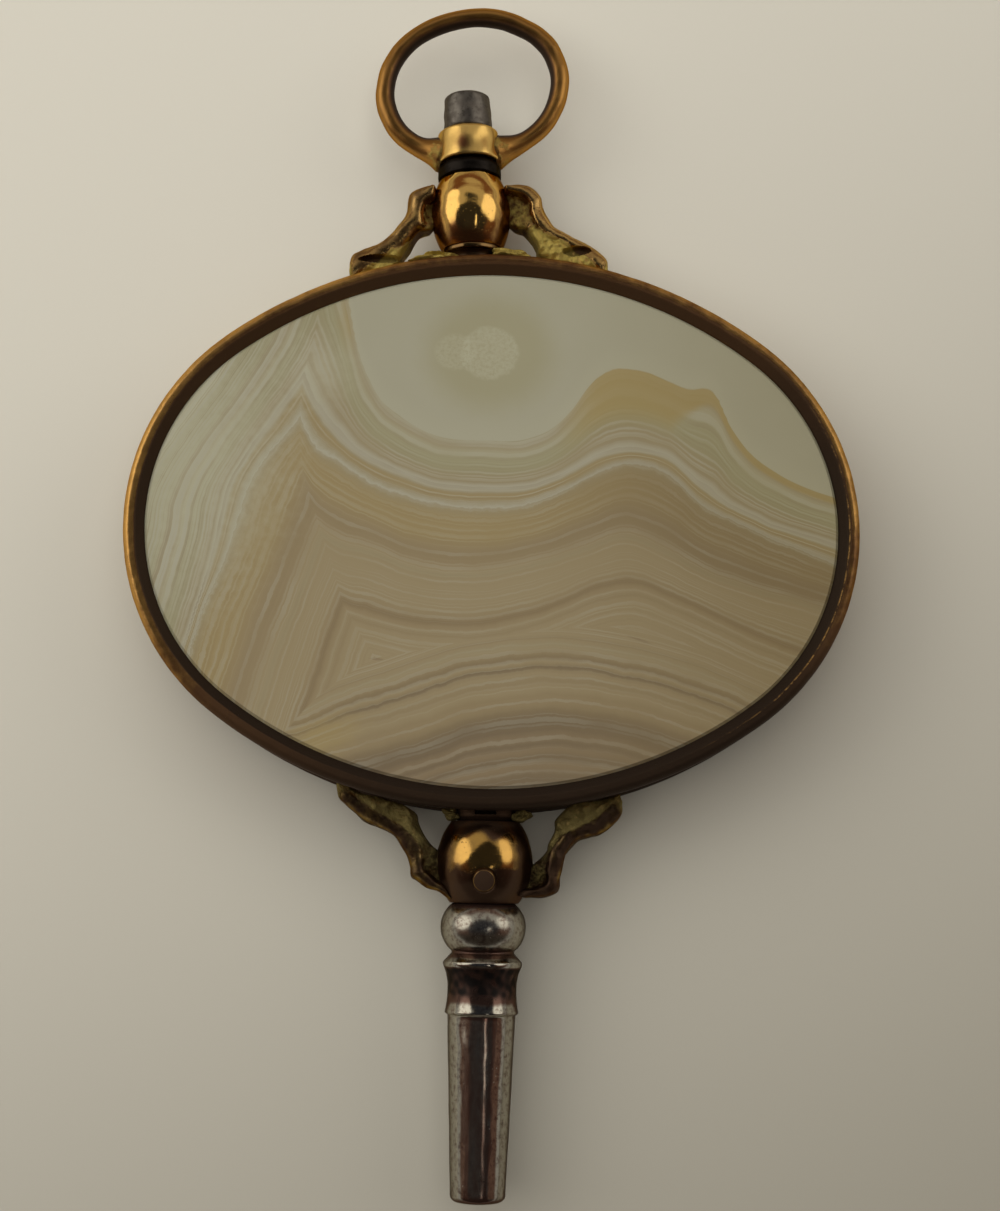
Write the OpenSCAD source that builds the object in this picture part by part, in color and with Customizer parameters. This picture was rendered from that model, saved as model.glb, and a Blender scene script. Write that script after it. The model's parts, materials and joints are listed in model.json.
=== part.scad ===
// Pocket-watch winding key with a swivelling bow. A banded agate plate is held
// between two moulded bezels in an oval band. A bead and two scroll brackets on
// one long side carry the steel winding pipe, and a bead and two scrolls on the
// other carry a steel post, on which the bow turns.
//
// The key lies on its back. X runs along the oval, +Y towards the bow and +Z out
// of the front of the stone. The origin is the middle of the key's footprint.
// The modules work about the middle of the oval, and seated() moves them there.

/* [Case] */

// Length of the oval case, across the key
case_w = 40; // [38:0.5:43]
// Width of the oval case, along the key
case_h = 30.7; // [29.5:0.1:32.5]
// Thickness of the case over both bezels
case_t = 6; // [5.8:0.1:7.5]
// Wall of the band round the stone
band_wall = 0.5; // [0.4:0.05:0.6]
// Width of a bezel, seen from the front
bezel_w = 1.15; // [1:0.05:1.4]
// Height of a bezel above the band
bezel_h = 1; // [0.9:0.05:1.1]
// Width of the flat land along the top of a bezel
land_w = 0.36; // [0.2:0.02:0.5]
// How far a bezel stands out past the band
bezel_proud = 0.18; // [0.1:0.02:0.3]
// Thickness of a bezel at its inner edge
lip_edge = 0.08; // [0.04:0.02:0.12]

/* [Stone] */

// Depth of the stone's face below the bezel land
face_drop = 0.4; // [0.3:0.05:0.5]
// Width of the stone's bevel that shows inside a bezel
bevel_show = 0.5; // [0.3:0.05:0.8]
// Slope of the stone's bevelled edge, in degrees
bevel_a = 20; // [12:1:26]
// Gap round the stone inside the band
stone_gap = 0.05; // [0.02:0.01:0.15]

/* [Head] */

// Angle that the head fittings sit round the rim, anticlockwise from its middle
head_turn = 3.2; // [-5:0.1:5]
// Height of the head foot over the band
head_foot_h = 1.24; // [1:0.05:1.7]
// Diameter of the head bead
head_bead_d = 4.52; // [4.2:0.05:5]
// Diameter of the head bead's flat ends
head_bead_end_d = 3.4; // [3:0.05:3.7]
// Height of the head bead
head_bead_h = 4.21; // [4:0.05:4.8]

/* [Tail] */

// Height of the tail foot over the band
tail_foot_h = 0.67; // [0.6:0.05:1]
// Diameter of the tail bead
tail_bead_d = 5.22; // [5:0.05:5.6]
// Diameter of the tail bead's flat ends
tail_bead_end_d = 3.7; // [3.4:0.05:4]
// Height of the tail bead
tail_bead_h = 4.38; // [4.2:0.05:5]
// Diameter of the pin across the tail bead
pin_d = 1.14; // [0.8:0.02:1.3]
// How far the pin lies below the middle of the tail bead
pin_drop = 1; // [0.6:0.05:1.2]
// Width of the open slot where the tail foot meets the band
slot_w = 1.1; // [0.6:0.1:1.4]
// Height of that slot
slot_h = 0.3; // [0.15:0.05:0.4]
// How far the filed ends of the pin stand out of the tail bead
pin_proud = 0.03; // [0.02:0.01:0.08]
// Diameter of the spigot that joins the tail foot to its bead
spigot_d = 1.6; // [1.2:0.1:2]
// Length of that spigot
spigot_l = 0.7; // [0.4:0.05:1]

/* [Feet] */

// Diameter of both feet where they sit on the band
foot_d = 3.5; // [3.3:0.05:3.8]
// Radius of the cove turned round each foot
foot_cove_r = 0.32; // [0.2:0.02:0.33]

/* [Scrolls] */

// Distance of the head scrolls' outer corner from the head axis
head_corner = 3.8; // [3.6:0.05:4.2]
// Height of the head scrolls' shoulder above the band
head_shoulder = 4.3; // [4.15:0.05:4.6]
// Radius of the head scrolls' hollow outer edge
head_bend_r = 3.1; // [2.9:0.05:3.3]
// Height of the head scrolls' ends above their shoulder
head_cap = 0.75; // [0.5:0.05:0.9]
// Depth of the tie between a head scroll's end and the head bead
head_tie = 2.65; // [2.2:0.05:3]
// Distance of the tail scrolls' outer corner from the tail axis
tail_corner = 4.1; // [3.9:0.05:4.5]
// Height of the tail scrolls' shoulder above the band
tail_shoulder = 3.35; // [3.2:0.05:3.6]
// Radius of the tail scrolls' hollow outer edge
tail_bend_r = 2.75; // [2.6:0.05:3]
// Height of the tail scrolls' ends above their shoulder
tail_cap = 1.4; // [1:0.05:1.5]
// Depth of the tie between a tail scroll's end and the tail bead
tail_tie = 1.7; // [1.2:0.05:1.9]
// Width of the bent strip in every scroll
strip_w = 1.12; // [0.9:0.02:1.3]
// Thickness of the scrolls, front to back
strip_t = 2.4; // [1.8:0.1:3]
// Height of the raised strand on the scrolls' faces
strand_h = 0.22; // [0.1:0.02:0.4]
// Height of the square corner at a scroll's shoulder
corner_h = 0.45; // [0.2:0.05:0.5]

/* [Swivel] */

// Diameter of the post's head
post_head_d = 2.8; // [2.6:0.05:3]
// Diameter of the post's head at its rounded ends
post_end_d = 2.4; // [2:0.05:2.5]
// Height of the post's head
post_head_h = 2.1; // [1.6:0.05:2.4]
// Diameter of the post where the collar turns
journal_d = 2.1; // [1.9:0.05:2.3]
// Diameter of the post's tail in the head bead
post_tail_d = 1.6; // [1.2:0.05:1.8]
// Depth of the post's tail in the head foot
post_tail_sink = 0.8; // [0.4:0.05:0.9]
// Diameter of the washer under the collar
washer_d = 3.5; // [3:0.05:3.6]
// Thickness of the washer
washer_t = 0.88; // [0.7:0.02:1]
// Diameter of the collar at its base
collar_d = 3.78; // [3.6:0.02:4]
// Diameter of the collar at its top
collar_top_d = 3.46; // [3.3:0.02:3.6]
// Height of the collar
collar_h = 1.88; // [1.7:0.02:2.1]
// Width over the two flats that the bow's ends meet on the collar
flats_w = 3.34; // [3.2:0.02:3.4]
// Running clearance between the collar and the post, on the radius
running_gap = 0.05; // [0.02:0.01:0.1]
// Clearance at each end of the collar
end_gap = 0.06; // [0.03:0.01:0.12]

/* [Bow] */

// Width over the bow
bow_w = 11.24; // [10.8:0.05:12.5]
// Height over the bow's whole oval
bow_h = 9.7; // [9.4:0.05:10.6]
// Diameter of the bow's wire
wire_d = 1.18; // [1:0.02:1.3]
// Height of the bow's middle above the base of the collar
bow_rise = 4.67; // [4.5:0.02:4.8]
// Distance from the axis at which the bow's flared ears start
ear_x = 2.3; // [2.1:0.05:2.6]
// Diameter of the ears' wide ends
ear_d = 1.9; // [1.4:0.05:2]
// Length of the ears
ear_l = 1.15; // [1:0.05:1.4]

/* [Pipe] */

// Length of the pipe from the tail bead to its tip
pipe_l = 15.56; // [14:0.2:18]
// Diameter of the ball under the tail bead
ball_d = 4.62; // [4.3:0.05:5]
// Height of the ball
ball_h = 2.52; // [2.2:0.05:2.8]
// Diameter of the ball's ends and of the neck under it
neck_d = 3.42; // [3.1:0.05:3.6]
// Diameter of the sharp ring under the neck
ring_d = 4.28; // [4:0.02:4.5]
// Height of the flare from the neck to the ring
flare_h = 0.6; // [0.4:0.05:0.8]
// Height of the ring's edge
ring_h = 0.16; // [0.1:0.02:0.24]
// Smallest diameter of the cove under the ring
cove_d = 3.72; // [3.5:0.02:3.8]
// Height of the cove
cove_h = 2.1; // [1.7:0.05:2.3]
// Diameter of the lower ring, at the top of the tube
stop_d = 3.94; // [3.85:0.02:4.1]
// Height of the lower ring
stop_h = 0.6; // [0.4:0.05:0.8]
// Height of the bevel under the lower ring
stop_edge = 0.1; // [0.05:0.01:0.2]
// Diameter at the top of the tube
tube_d = 3.64; // [3.4:0.02:3.8]
// Diameter at the tip of the tube
tip_d = 2.94; // [2.8:0.02:3.3]
// Radius of the tip's rounded edge
tip_round = 0.34; // [0.2:0.02:0.38]
// Width across the flats of the square socket
socket_w = 1.5; // [1.2:0.05:1.7]
// Depth of the square socket
socket_l = 5.5; // [4:0.1:7]
// Depth of the drill point at the bottom of the socket
point_h = 0.4; // [0.2:0.05:0.6]
// Depth of the countersink at the mouth of the socket
mouth_h = 0.25; // [0.1:0.05:0.3]
// Diameter of the pipe's tail in the tail bead
tang_d = 2.2; // [2:0.05:2.4]
// Length of the pipe's tail
tang_l = 3; // [2.6:0.05:3.2]

/* [Hidden] */

$fn = 192;
gilt = "#b98a45";
steel = "#77736c";
agate = "#c9c0a4";

// An oval of four arcs, set out on 3-4-5 triangles from its length and width:
// [end centres' x, long arcs' centres' y, end radius, long radius]
function oval(w, h) =
    let (unit = (w - h) / 4) [3 * unit, 4 * unit, w / 2 - 3 * unit, w / 2 + 2 * unit];

// Direction of the line on which an end arc and a long arc meet
join_a = atan2(4, 3);

// Radius of the arc through a barrel's two end edges and its middle
function barrel_r(d, end_d, h) =
    let (s = (d - end_d) / 2) (h * h / 4 + s * s) / (2 * s);

case_oval = oval(case_w, case_h);
arc_d = case_oval[1];
band_r = case_oval[3] - bezel_proud;
band_y = case_h / 2 - bezel_proud;
front_z = case_t / 2;
joint_z = front_z - bezel_h;
bezel_r = (bezel_h * bezel_h + land_w * land_w / 4) / (2 * bezel_h);

// How far cutters run past the faces that they open
over = 1;

// The stone's faces and bevels, as depths in from the outside of the case, and
// the width of its edge that is swept round the oval
core_w = 4;
band_in = bezel_proud + band_wall;
girdle_in = band_in + stone_gap;
table_in = bezel_w + bevel_show;
face_z = front_z - face_drop;
function bevel_z(depth) = face_z - (table_in - depth) * tan(bevel_a);

// How far a foot runs into the band before it is saddled to it
foot_sink = 0.4;

// Heights along the head axis, from the middle of the oval
head_bead_y = band_y + head_foot_h;
washer_y = head_bead_y + head_bead_h;
collar_y = washer_y + washer_t + end_gap;
post_head_y = collar_y + collar_h + end_gap;
bow_y = collar_y + bow_rise;
bow_oval = oval(bow_w - wire_d, bow_h - wire_d);

// Angle round a side arc of the bow at which its ear starts, and how the ear's
// narrow end takes in the end of the wire
ear_a = -acos((ear_x - bow_oval[0]) / bow_oval[2]);
ear_lap = wire_d / 4;
ear_root_d = 1.05 * wire_d;

// Heights along the tail axis, from the middle of the oval
tail_bead_y = band_y + tail_foot_h;
pipe_y = tail_bead_y + tail_bead_h;
pin_y = tail_bead_y + tail_bead_h / 2 + pin_drop;

// Heights along the pipe, from the tail bead, and the radius of its cove
cove_r = cove_h;
ring_y = ball_h + flare_h + ring_h;
stop_y = ring_y + cove_h;
tube_y = stop_y + stop_h;

// The key's reach to each side of the middle of the oval
bow_reach = (bow_y - bow_oval[1] + arc_d) * cos(head_turn) - arc_d + bow_oval[3] + wire_d / 2;
tail_reach = pipe_y + pipe_l;

// Moves the key so that its footprint is centred on the origin
module seated() {
    translate([0, (tail_reach - bow_reach) / 2, front_z]) children();
}

// Turns the head fittings round the centre of the rim's upper arc
module at_head() {
    seated() translate([0, -arc_d, 0]) rotate(head_turn) translate([0, arc_d, 0]) children();
}

// Points the tail fittings away from the bow
module at_tail() {
    seated() mirror([0, 1, 0]) children();
}

// Sweeps a profile both ways from where an end arc and a long arc meet, the end
// arc turning this far. The profile's x counts outwards from the oval.
module oval_arcs(o, end_turn) {
    translate([o[0], 0, 0]) rotate(join_a)
        rotate_extrude(angle = -end_turn) translate([o[2], 0]) children();
    translate([0, -o[1], 0]) rotate(join_a)
        rotate_extrude(angle = 45) translate([o[3], 0]) children();
}

// Sweeps a profile all round an oval, in quarters cut off at its axes
module oval_sweep(o) {
    reach = 2 * o[3];
    for (x = [0, 1], y = [0, 1]) mirror([x, 0, 0]) mirror([0, y, 0]) intersection() {
        oval_arcs(o, 60) children();
        translate([0, 0, -reach / 2]) cube(reach);
    }
}

// A polygon inside an oval, its corners this far in
module oval_core(o, depth) {
    end_x = o[0] + o[2] - depth;
    join_x = o[0] + (o[2] - depth) * cos(join_a);
    join_y = (o[2] - depth) * sin(join_a);
    top_y = o[3] - o[1] - depth;
    polygon([
        [end_x, 0], [join_x, join_y], [0, top_y], [-join_x, join_y],
        [-end_x, 0], [-join_x, -join_y], [0, -top_y], [join_x, -join_y]
    ]);
}

// Turns a profile about the key's axis: x is the radius and y the height
module turned() {
    rotate([-90, 0, 0]) rotate_extrude() children();
}

// A round bar or hole along the key's axis
module rod(d, y, l) {
    translate([0, y, 0]) rotate([-90, 0, 0]) cylinder(d = d, h = l);
}

// Half the section of a barrel with flat ends, standing on y = 0
module barrel(d, end_d, h) {
    r = barrel_r(d, end_d, h);
    intersection() {
        translate([d / 2 - r, h / 2]) circle(r);
        square([d / 2, h]);
    }
}

// Section of a bezel: a round outside with a flat land, and a slope down to the stone
module bezel_section() {
    intersection() {
        translate([-bezel_r, joint_z + bezel_r]) circle(bezel_r);
        translate([-bezel_r, joint_z]) square([bezel_r, bezel_h]);
    }
    polygon([
        [-bezel_r, joint_z], [-bezel_r, front_z], [-bezel_r - land_w / 2, front_z],
        [-bezel_w, bevel_z(bezel_w) + lip_edge], [-bezel_w, bevel_z(bezel_w)],
        [-band_in, bevel_z(band_in)], [-band_in, joint_z]
    ]);
}

// Section of the stone's edge, with a bevel at the front and the back
module stone_section() {
    girdle_z = bevel_z(girdle_in);
    polygon([
        [-table_in - core_w, -face_z], [-table_in, -face_z], [-girdle_in, -girdle_z],
        [-girdle_in, girdle_z], [-table_in, face_z], [-table_in - core_w, face_z]
    ]);
}

module case_band() {
    color(gilt) seated() oval_sweep(case_oval)
        translate([-band_in, -joint_z]) square([band_wall, 2 * joint_z]);
}

module front_bezel() {
    color(gilt) seated() oval_sweep(case_oval) bezel_section();
}

module back_bezel() {
    color(gilt) seated() mirror([0, 0, 1]) oval_sweep(case_oval) bezel_section();
}

module agate_plate() {
    color(agate) seated() {
        oval_sweep(case_oval) stone_section();
        translate([0, 0, -face_z]) linear_extrude(2 * face_z)
            oval_core(case_oval, table_in + core_w / 2);
    }
}

// A turned foot with a cove, saddled onto the curved outside of the band
module foot(h, neck) {
    difference() {
        translate([0, band_y - foot_sink, 0]) turned() difference() {
            square([foot_d / 2, h + foot_sink]);
            translate([foot_d / 2, h + foot_sink - neck]) circle(foot_cove_r);
        }
        translate([0, -arc_d, 0]) cylinder(r = band_r, h = case_t, center = true);
    }
}

module head_foot() {
    color(gilt) at_head() difference() {
        foot(head_foot_h, head_foot_h / 2);
        rod(post_tail_d, head_bead_y - post_tail_sink, post_tail_sink + over);
    }
}

module tail_foot() {
    color(gilt) at_tail() {
        difference() {
            foot(tail_foot_h, 0);
            translate([-slot_w / 2, 0, 0]) cube([slot_w, band_y + slot_h, case_t]);
        }
        rod(spigot_d, tail_bead_y, spigot_l);
    }
}

module head_bead() {
    color(gilt) at_head() difference() {
        head_barrel();
        rod(post_tail_d, head_bead_y - over, head_bead_h + 2 * over);
    }
}

module head_barrel() {
    translate([0, head_bead_y, 0]) turned() barrel(head_bead_d, head_bead_end_d, head_bead_h);
}

module tail_bead() {
    color(gilt) at_tail() difference() {
        tail_barrel(0);
        rod(spigot_d, tail_bead_y - over, spigot_l + over);
        rod(tang_d, pipe_y - tang_l, tang_l + over);
        pin_bar();
    }
}

// The tail bead's outside, this much larger all round
module tail_barrel(grow) {
    translate([0, tail_bead_y, 0]) turned()
        barrel(tail_bead_d + 2 * grow, tail_bead_end_d + 2 * grow, tail_bead_h);
}

// The pin's straight bar, longer than the bead is thick
module pin_bar() {
    translate([0, pin_y, 0]) cylinder(d = pin_d, h = 2 * tail_bead_d, center = true);
}

// The pin is filed to the round of the bead and stands just proud of it
module cross_pin() {
    color(gilt) at_tail() intersection() {
        pin_bar();
        tail_barrel(pin_proud);
    }
}

// The bent strip of a scroll with its foot, this far inside its outline
module strip(corner, shoulder, bend_r, inset) {
    bend_x = corner + bend_r;
    bend_y = band_y + shoulder;
    intersection() {
        translate([bend_x, bend_y]) difference() {
            circle(bend_r + strip_w - inset);
            circle(bend_r + inset);
        }
        translate([0, band_y - bend_r]) square([bend_x, shoulder + bend_r]);
    }
}

// Outline of a scroll: the strip, its foot on the band, and its end tied to the bead
module scroll_outline(corner, shoulder, bend_r, cap, tie) {
    bend_x = corner + bend_r;
    bend_y = band_y + shoulder;
    strip_x = corner + strip_w;
    end_x = corner - strip_w;
    end_y = bend_y + cap;
    difference() {
        union() {
            strip(corner, shoulder, bend_r, 0);
            translate([strip_x, band_y - bend_r])
                square([bend_x - strip_x, shoulder - strip_w / 2]);
            polygon([
                [0, end_y - tie], [end_x + strip_w / 2, end_y - tie], [corner, bend_y],
                [corner, bend_y + corner_h], [end_x, end_y], [0, end_y]
            ]);
        }
        translate([bend_x, bend_y]) circle(bend_r);
        translate([0, -arc_d]) circle(band_r);
    }
}

// A scroll to the right of its axis, with a raised strand along both faces
module scroll(corner, shoulder, bend_r, cap, tie) {
    difference() {
        union() {
            translate([0, 0, -strip_t / 2]) linear_extrude(strip_t)
                scroll_outline(corner, shoulder, bend_r, cap, tie);
            translate([0, 0, -strip_t / 2 - strand_h]) linear_extrude(strip_t + 2 * strand_h)
                difference() {
                    strip(corner, shoulder, bend_r, strip_w / 4);
                    translate([0, -arc_d]) circle(band_r);
                }
        }
        children();
    }
}

module head_scroll() {
    scroll(head_corner, head_shoulder, head_bend_r, head_cap, head_tie) head_barrel();
}

module tail_scroll() {
    scroll(tail_corner, tail_shoulder, tail_bend_r, tail_cap, tail_tie) tail_barrel(0);
}

module head_scroll_right() {
    color(gilt) at_head() head_scroll();
}

module head_scroll_left() {
    color(gilt) at_head() mirror([1, 0, 0]) head_scroll();
}

module tail_scroll_right() {
    color(gilt) at_tail() tail_scroll();
}

module tail_scroll_left() {
    color(gilt) at_tail() mirror([1, 0, 0]) tail_scroll();
}

module swivel_washer() {
    color(steel) at_head() difference() {
        rod(washer_d, washer_y, washer_t);
        rod(journal_d + 2 * running_gap, washer_y - over, washer_t + 2 * over);
    }
}

module swivel_post() {
    color(steel) at_head() {
        rod(post_tail_d, head_bead_y - post_tail_sink, head_bead_h + post_tail_sink);
        rod(journal_d, washer_y, post_head_y - washer_y);
        translate([0, post_head_y, 0]) turned() barrel(post_head_d, post_end_d, post_head_h);
    }
}

module bow_collar() {
    color(gilt) at_head() difference() {
        intersection() {
            translate([0, collar_y, 0]) rotate([-90, 0, 0])
                cylinder(d1 = collar_d, d2 = collar_top_d, h = collar_h);
            translate([-flats_w / 2, collar_y, -collar_d / 2]) cube([flats_w, collar_h, collar_d]);
        }
        rod(journal_d + 2 * running_gap, collar_y - over, collar_h + 2 * over);
    }
}

// The bow's wire runs on round its side arcs and ends in flared ears, which are
// filed level with the flats and the base of the collar
module bow_ring() {
    color(gilt) at_head() translate([0, bow_y, 0]) for (x = [0, 1]) mirror([x, 0, 0]) {
        intersection() {
            oval_arcs(bow_oval, join_a - ear_a) circle(d = wire_d);
            translate([0, -bow_h, -bow_h]) cube(2 * bow_h);
        }
        intersection() {
            translate([bow_oval[0], 0, 0]) rotate(ear_a) translate([bow_oval[2], ear_lap, 0])
                rotate([90, 0, 0]) cylinder(d1 = ear_root_d, d2 = ear_d, h = ear_l);
            translate([flats_w / 2, -bow_rise, -ear_d]) cube([bow_w, bow_rise, 2 * ear_d]);
        }
    }
}

// Half the section of the pipe, from its seat on the tail bead
module pipe_section() {
    barrel(ball_d, neck_d, ball_h);
    polygon([
        [0, ball_h], [neck_d / 2, ball_h], [ring_d / 2, ball_h + flare_h],
        [ring_d / 2, ring_y], [0, ring_y]
    ]);
    difference() {
        translate([0, ring_y]) square([stop_d / 2, cove_h]);
        translate([cove_d / 2 + cove_r, ring_y + cove_h / 2]) circle(cove_r);
    }
    polygon([
        [0, stop_y], [stop_d / 2, stop_y], [stop_d / 2, tube_y - stop_edge],
        [tube_d / 2, tube_y], [0, tube_y]
    ]);
    polygon([
        [0, tube_y], [tube_d / 2, tube_y], [tip_d / 2, pipe_l - tip_round],
        [tip_d / 2 - tip_round, pipe_l], [0, pipe_l]
    ]);
    translate([tip_d / 2 - tip_round, pipe_l - tip_round]) circle(tip_round);
}

// The square socket with its drill point and countersunk mouth
module socket() {
    depth = pipe_l - socket_l;
    translate([-socket_w / 2, depth, -socket_w / 2]) cube([socket_w, socket_l + over, socket_w]);
    translate([0, depth, 0]) rotate([90, 0, 0]) cylinder(d1 = socket_w, d2 = 0, h = point_h);
    translate([0, pipe_l, 0]) rotate([90, 0, 0])
        cylinder(d1 = socket_w + 2 * mouth_h, d2 = socket_w, h = mouth_h);
}

module winding_pipe() {
    color(steel) at_tail() {
        translate([0, pipe_y, 0]) difference() {
            turned() pipe_section();
            socket();
        }
        difference() {
            rod(tang_d, pipe_y - tang_l, tang_l);
            pin_bar();
        }
    }
}

case_band();
front_bezel();
back_bezel();
agate_plate();
head_foot();
head_bead();
head_scroll_left();
head_scroll_right();
swivel_washer();
swivel_post();
bow_collar();
bow_ring();
tail_foot();
tail_bead();
tail_scroll_left();
tail_scroll_right();
cross_pin();
winding_pipe();
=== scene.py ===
"""Looks of a pocket-watch winding key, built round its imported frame.

A banded agate plate sits in an oval gilt rim, with gilt beads and scrolls on both long sides, a swivelling
bow on a steel post and a steel winding pipe. Sizes are millimetres, and a mesh turns them into metres of
the row frame when it is filled. The parts are drawn about the middle of the oval: x runs along the oval,
y towards the bow, or towards the pipe for the tail fittings, and z out of the front of the stone.
"""

import json
import logging
import math
from collections.abc import Callable, Sequence
from dataclasses import dataclass, field
from enum import Enum
from functools import cached_property, reduce

import bpy
import numpy as np
from mathutils import Matrix, Vector


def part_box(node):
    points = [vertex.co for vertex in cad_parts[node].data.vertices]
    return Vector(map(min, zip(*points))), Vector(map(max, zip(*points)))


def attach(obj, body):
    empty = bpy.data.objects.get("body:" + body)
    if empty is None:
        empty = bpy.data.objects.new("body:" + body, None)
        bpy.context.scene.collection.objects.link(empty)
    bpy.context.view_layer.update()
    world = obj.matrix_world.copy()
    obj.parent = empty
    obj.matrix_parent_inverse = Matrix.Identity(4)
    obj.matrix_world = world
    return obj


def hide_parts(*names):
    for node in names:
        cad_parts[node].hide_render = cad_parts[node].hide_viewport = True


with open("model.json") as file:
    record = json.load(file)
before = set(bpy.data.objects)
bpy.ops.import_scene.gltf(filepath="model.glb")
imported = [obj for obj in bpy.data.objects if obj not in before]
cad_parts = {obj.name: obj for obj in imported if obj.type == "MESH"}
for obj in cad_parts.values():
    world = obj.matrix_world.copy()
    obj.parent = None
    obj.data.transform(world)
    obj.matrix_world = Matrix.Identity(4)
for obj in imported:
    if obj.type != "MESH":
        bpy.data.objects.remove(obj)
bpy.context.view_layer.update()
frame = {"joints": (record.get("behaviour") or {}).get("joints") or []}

LOG = logging.getLogger("watch_key")
MM = 0.001
CREASE = math.radians(50)

Array = np.ndarray
Colour = tuple[float, float, float]
Point = tuple[float, float]
Curve = tuple[Point, ...]
Place = tuple[float, float, float]
Placement = Callable[[Array], Array]
Socket = bpy.types.NodeSocket
Value = Socket | float
Shade = Socket | Colour


class Mark(Enum):
    """Values painted on a mesh's points, which the finishes read as attributes."""

    # RECESS and STAIN carry grime, stains and, in places, painted shade and reflection; EDGE carries worn
    # edges and, in places, painted highlights.
    EDGE = "edge"
    RECESS = "recess"
    SOLDER = "solder"
    STAIN = "stain"
    SATIN = "satin"
    LEFT_LIMB = "left_limb"
    RIGHT_LIMB = "right_limb"
    LOWER_LIMB = "lower_limb"


class Body(Enum):
    """The two bodies of the key: all that is fixed, and the bow that turns."""

    KEY = "key"
    BOW = "bow"


class Slot(Enum):
    """The record's material slots."""

    CASE = "gilt_case"
    FITTINGS = "gilt_fittings"
    POST = "post_steel"
    PIPE = "pipe_steel"
    AGATE = "agate"


@dataclass(frozen=True)
class KeyFrame:
    """Where the key's parts stand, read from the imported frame.

    Attributes:
        width: length of the oval case, along x.
        height: width of the oval case, along y.
        centre: middle of the oval, in the row frame.
        turn: angle of the head fittings round the rim, in radians.
    """

    width: float
    height: float
    centre: Array
    turn: float

    @classmethod
    def read(cls) -> "KeyFrame":
        """Takes the oval from the bezels' boxes and the head's turn from the bow's joint.

        Returns:
            The key's frame.
        """
        low, high = (np.array(corner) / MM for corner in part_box("front_bezel"))
        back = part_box("back_bezel")[0][2] / MM
        axis = frame["joints"][0]["axis"]
        width, height = (round(size, 1) for size in (high - low)[:2])
        middle = np.array([(low[0] + high[0]) / 2, (low[1] + high[1]) / 2, (back + high[2]) / 2])
        return cls(width, height, middle, math.atan2(-axis[0], axis[1]))

    @property
    def arc_drop(self) -> float:
        """Distance from the middle of the oval to the centre of a long arc."""
        return self.width - self.height

    def case(self, points: Array) -> Array:
        """Places points drawn about the oval in the row frame, in metres."""
        return (points + self.centre) * MM

    def head(self, points: Array) -> Array:
        """Turns points round the centre of the upper long arc, then places them.

        Args:
            points: places about the oval, in millimetres.

        Returns:
            Places in the row frame, in metres.
        """
        sin, cos = math.sin(self.turn), math.cos(self.turn)
        x, y, z = points[..., 0], points[..., 1] + self.arc_drop, points[..., 2]
        return self.case(np.stack([x * cos - y * sin, x * sin + y * cos - self.arc_drop, z], -1))

    def tail(self, points: Array) -> Array:
        """Points the tail's y away from the bow, then places it."""
        return self.case(points * np.array([1.0, -1.0, 1.0]))


@dataclass
class Skin:
    """A closed surface on a grid of points, each row of which is a closed loop.

    Attributes:
        points: rows by columns by 3, in millimetres.
        marks: values for the points, each of a shape that broadcasts to rows by columns.
        ring: whether the last row joins the first, where a point closes each end otherwise.
    """

    points: Array
    marks: dict[Mark, Array] = field(default_factory=dict)
    ring: bool = False

    def vertices(self) -> Array:
        """Lists the grid's points row by row, with the two end points after them.

        Returns:
            Points by 3.
        """
        flat = self.points.reshape(-1, 3)
        if self.ring:
            return flat
        return np.vstack([flat, self.points[0].mean(0), self.points[-1].mean(0)])

    def values(self, mark: Mark) -> Array:
        """Lists a mark's values in the order of the vertices, or zeros where the skin lacks it.

        Args:
            mark: the mark to list.

        Returns:
            One value for each vertex.
        """
        grid = np.broadcast_to(self.marks.get(mark, np.zeros(1)), self.points.shape[:2])
        if self.ring:
            return grid.ravel()
        return np.concatenate([grid.ravel(), [grid[0].mean(), grid[-1].mean()]])

    def faces(self) -> tuple[Array, Array]:
        """Lists the quads between neighbouring rows and the triangles that close the ends.

        Returns:
            Corner numbers of the quads and of the triangles.
        """
        rows, columns = self.points.shape[:2]
        index = np.arange(rows * columns).reshape(rows, columns)
        if self.ring:
            index = np.vstack([index, index[:1]])
        beside = np.roll(index, -1, axis=1)
        quads = np.stack([index[:-1], beside[:-1], beside[1:], index[1:]], -1).reshape(-1, 4)
        if self.ring:
            return quads, np.empty((0, 3), int)
        first, last = (np.full(columns, rows * columns + end) for end in (0, 1))
        ends = [np.stack([beside[0], index[0], first], -1), np.stack([index[-1], beside[-1], last], -1)]
        return quads, np.vstack(ends)


def enclosed(vertices: Array, quads: Array, triangles: Array) -> float:
    """Signed volume: a sixth of the sum of a . (b x c) over the triangles of every face.

    Args:
        vertices: the surface's points.
        quads: its four-sided faces.
        triangles: its three-sided faces.

    Returns:
        The volume, below zero where the faces point inwards.
    """
    halves = np.vstack([quads[:, [0, 1, 2]], quads[:, [0, 2, 3]], triangles])
    a, b, c = (vertices[halves[:, corner]] for corner in range(3))
    return float((a * np.cross(b, c)).sum() / 6)


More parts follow.
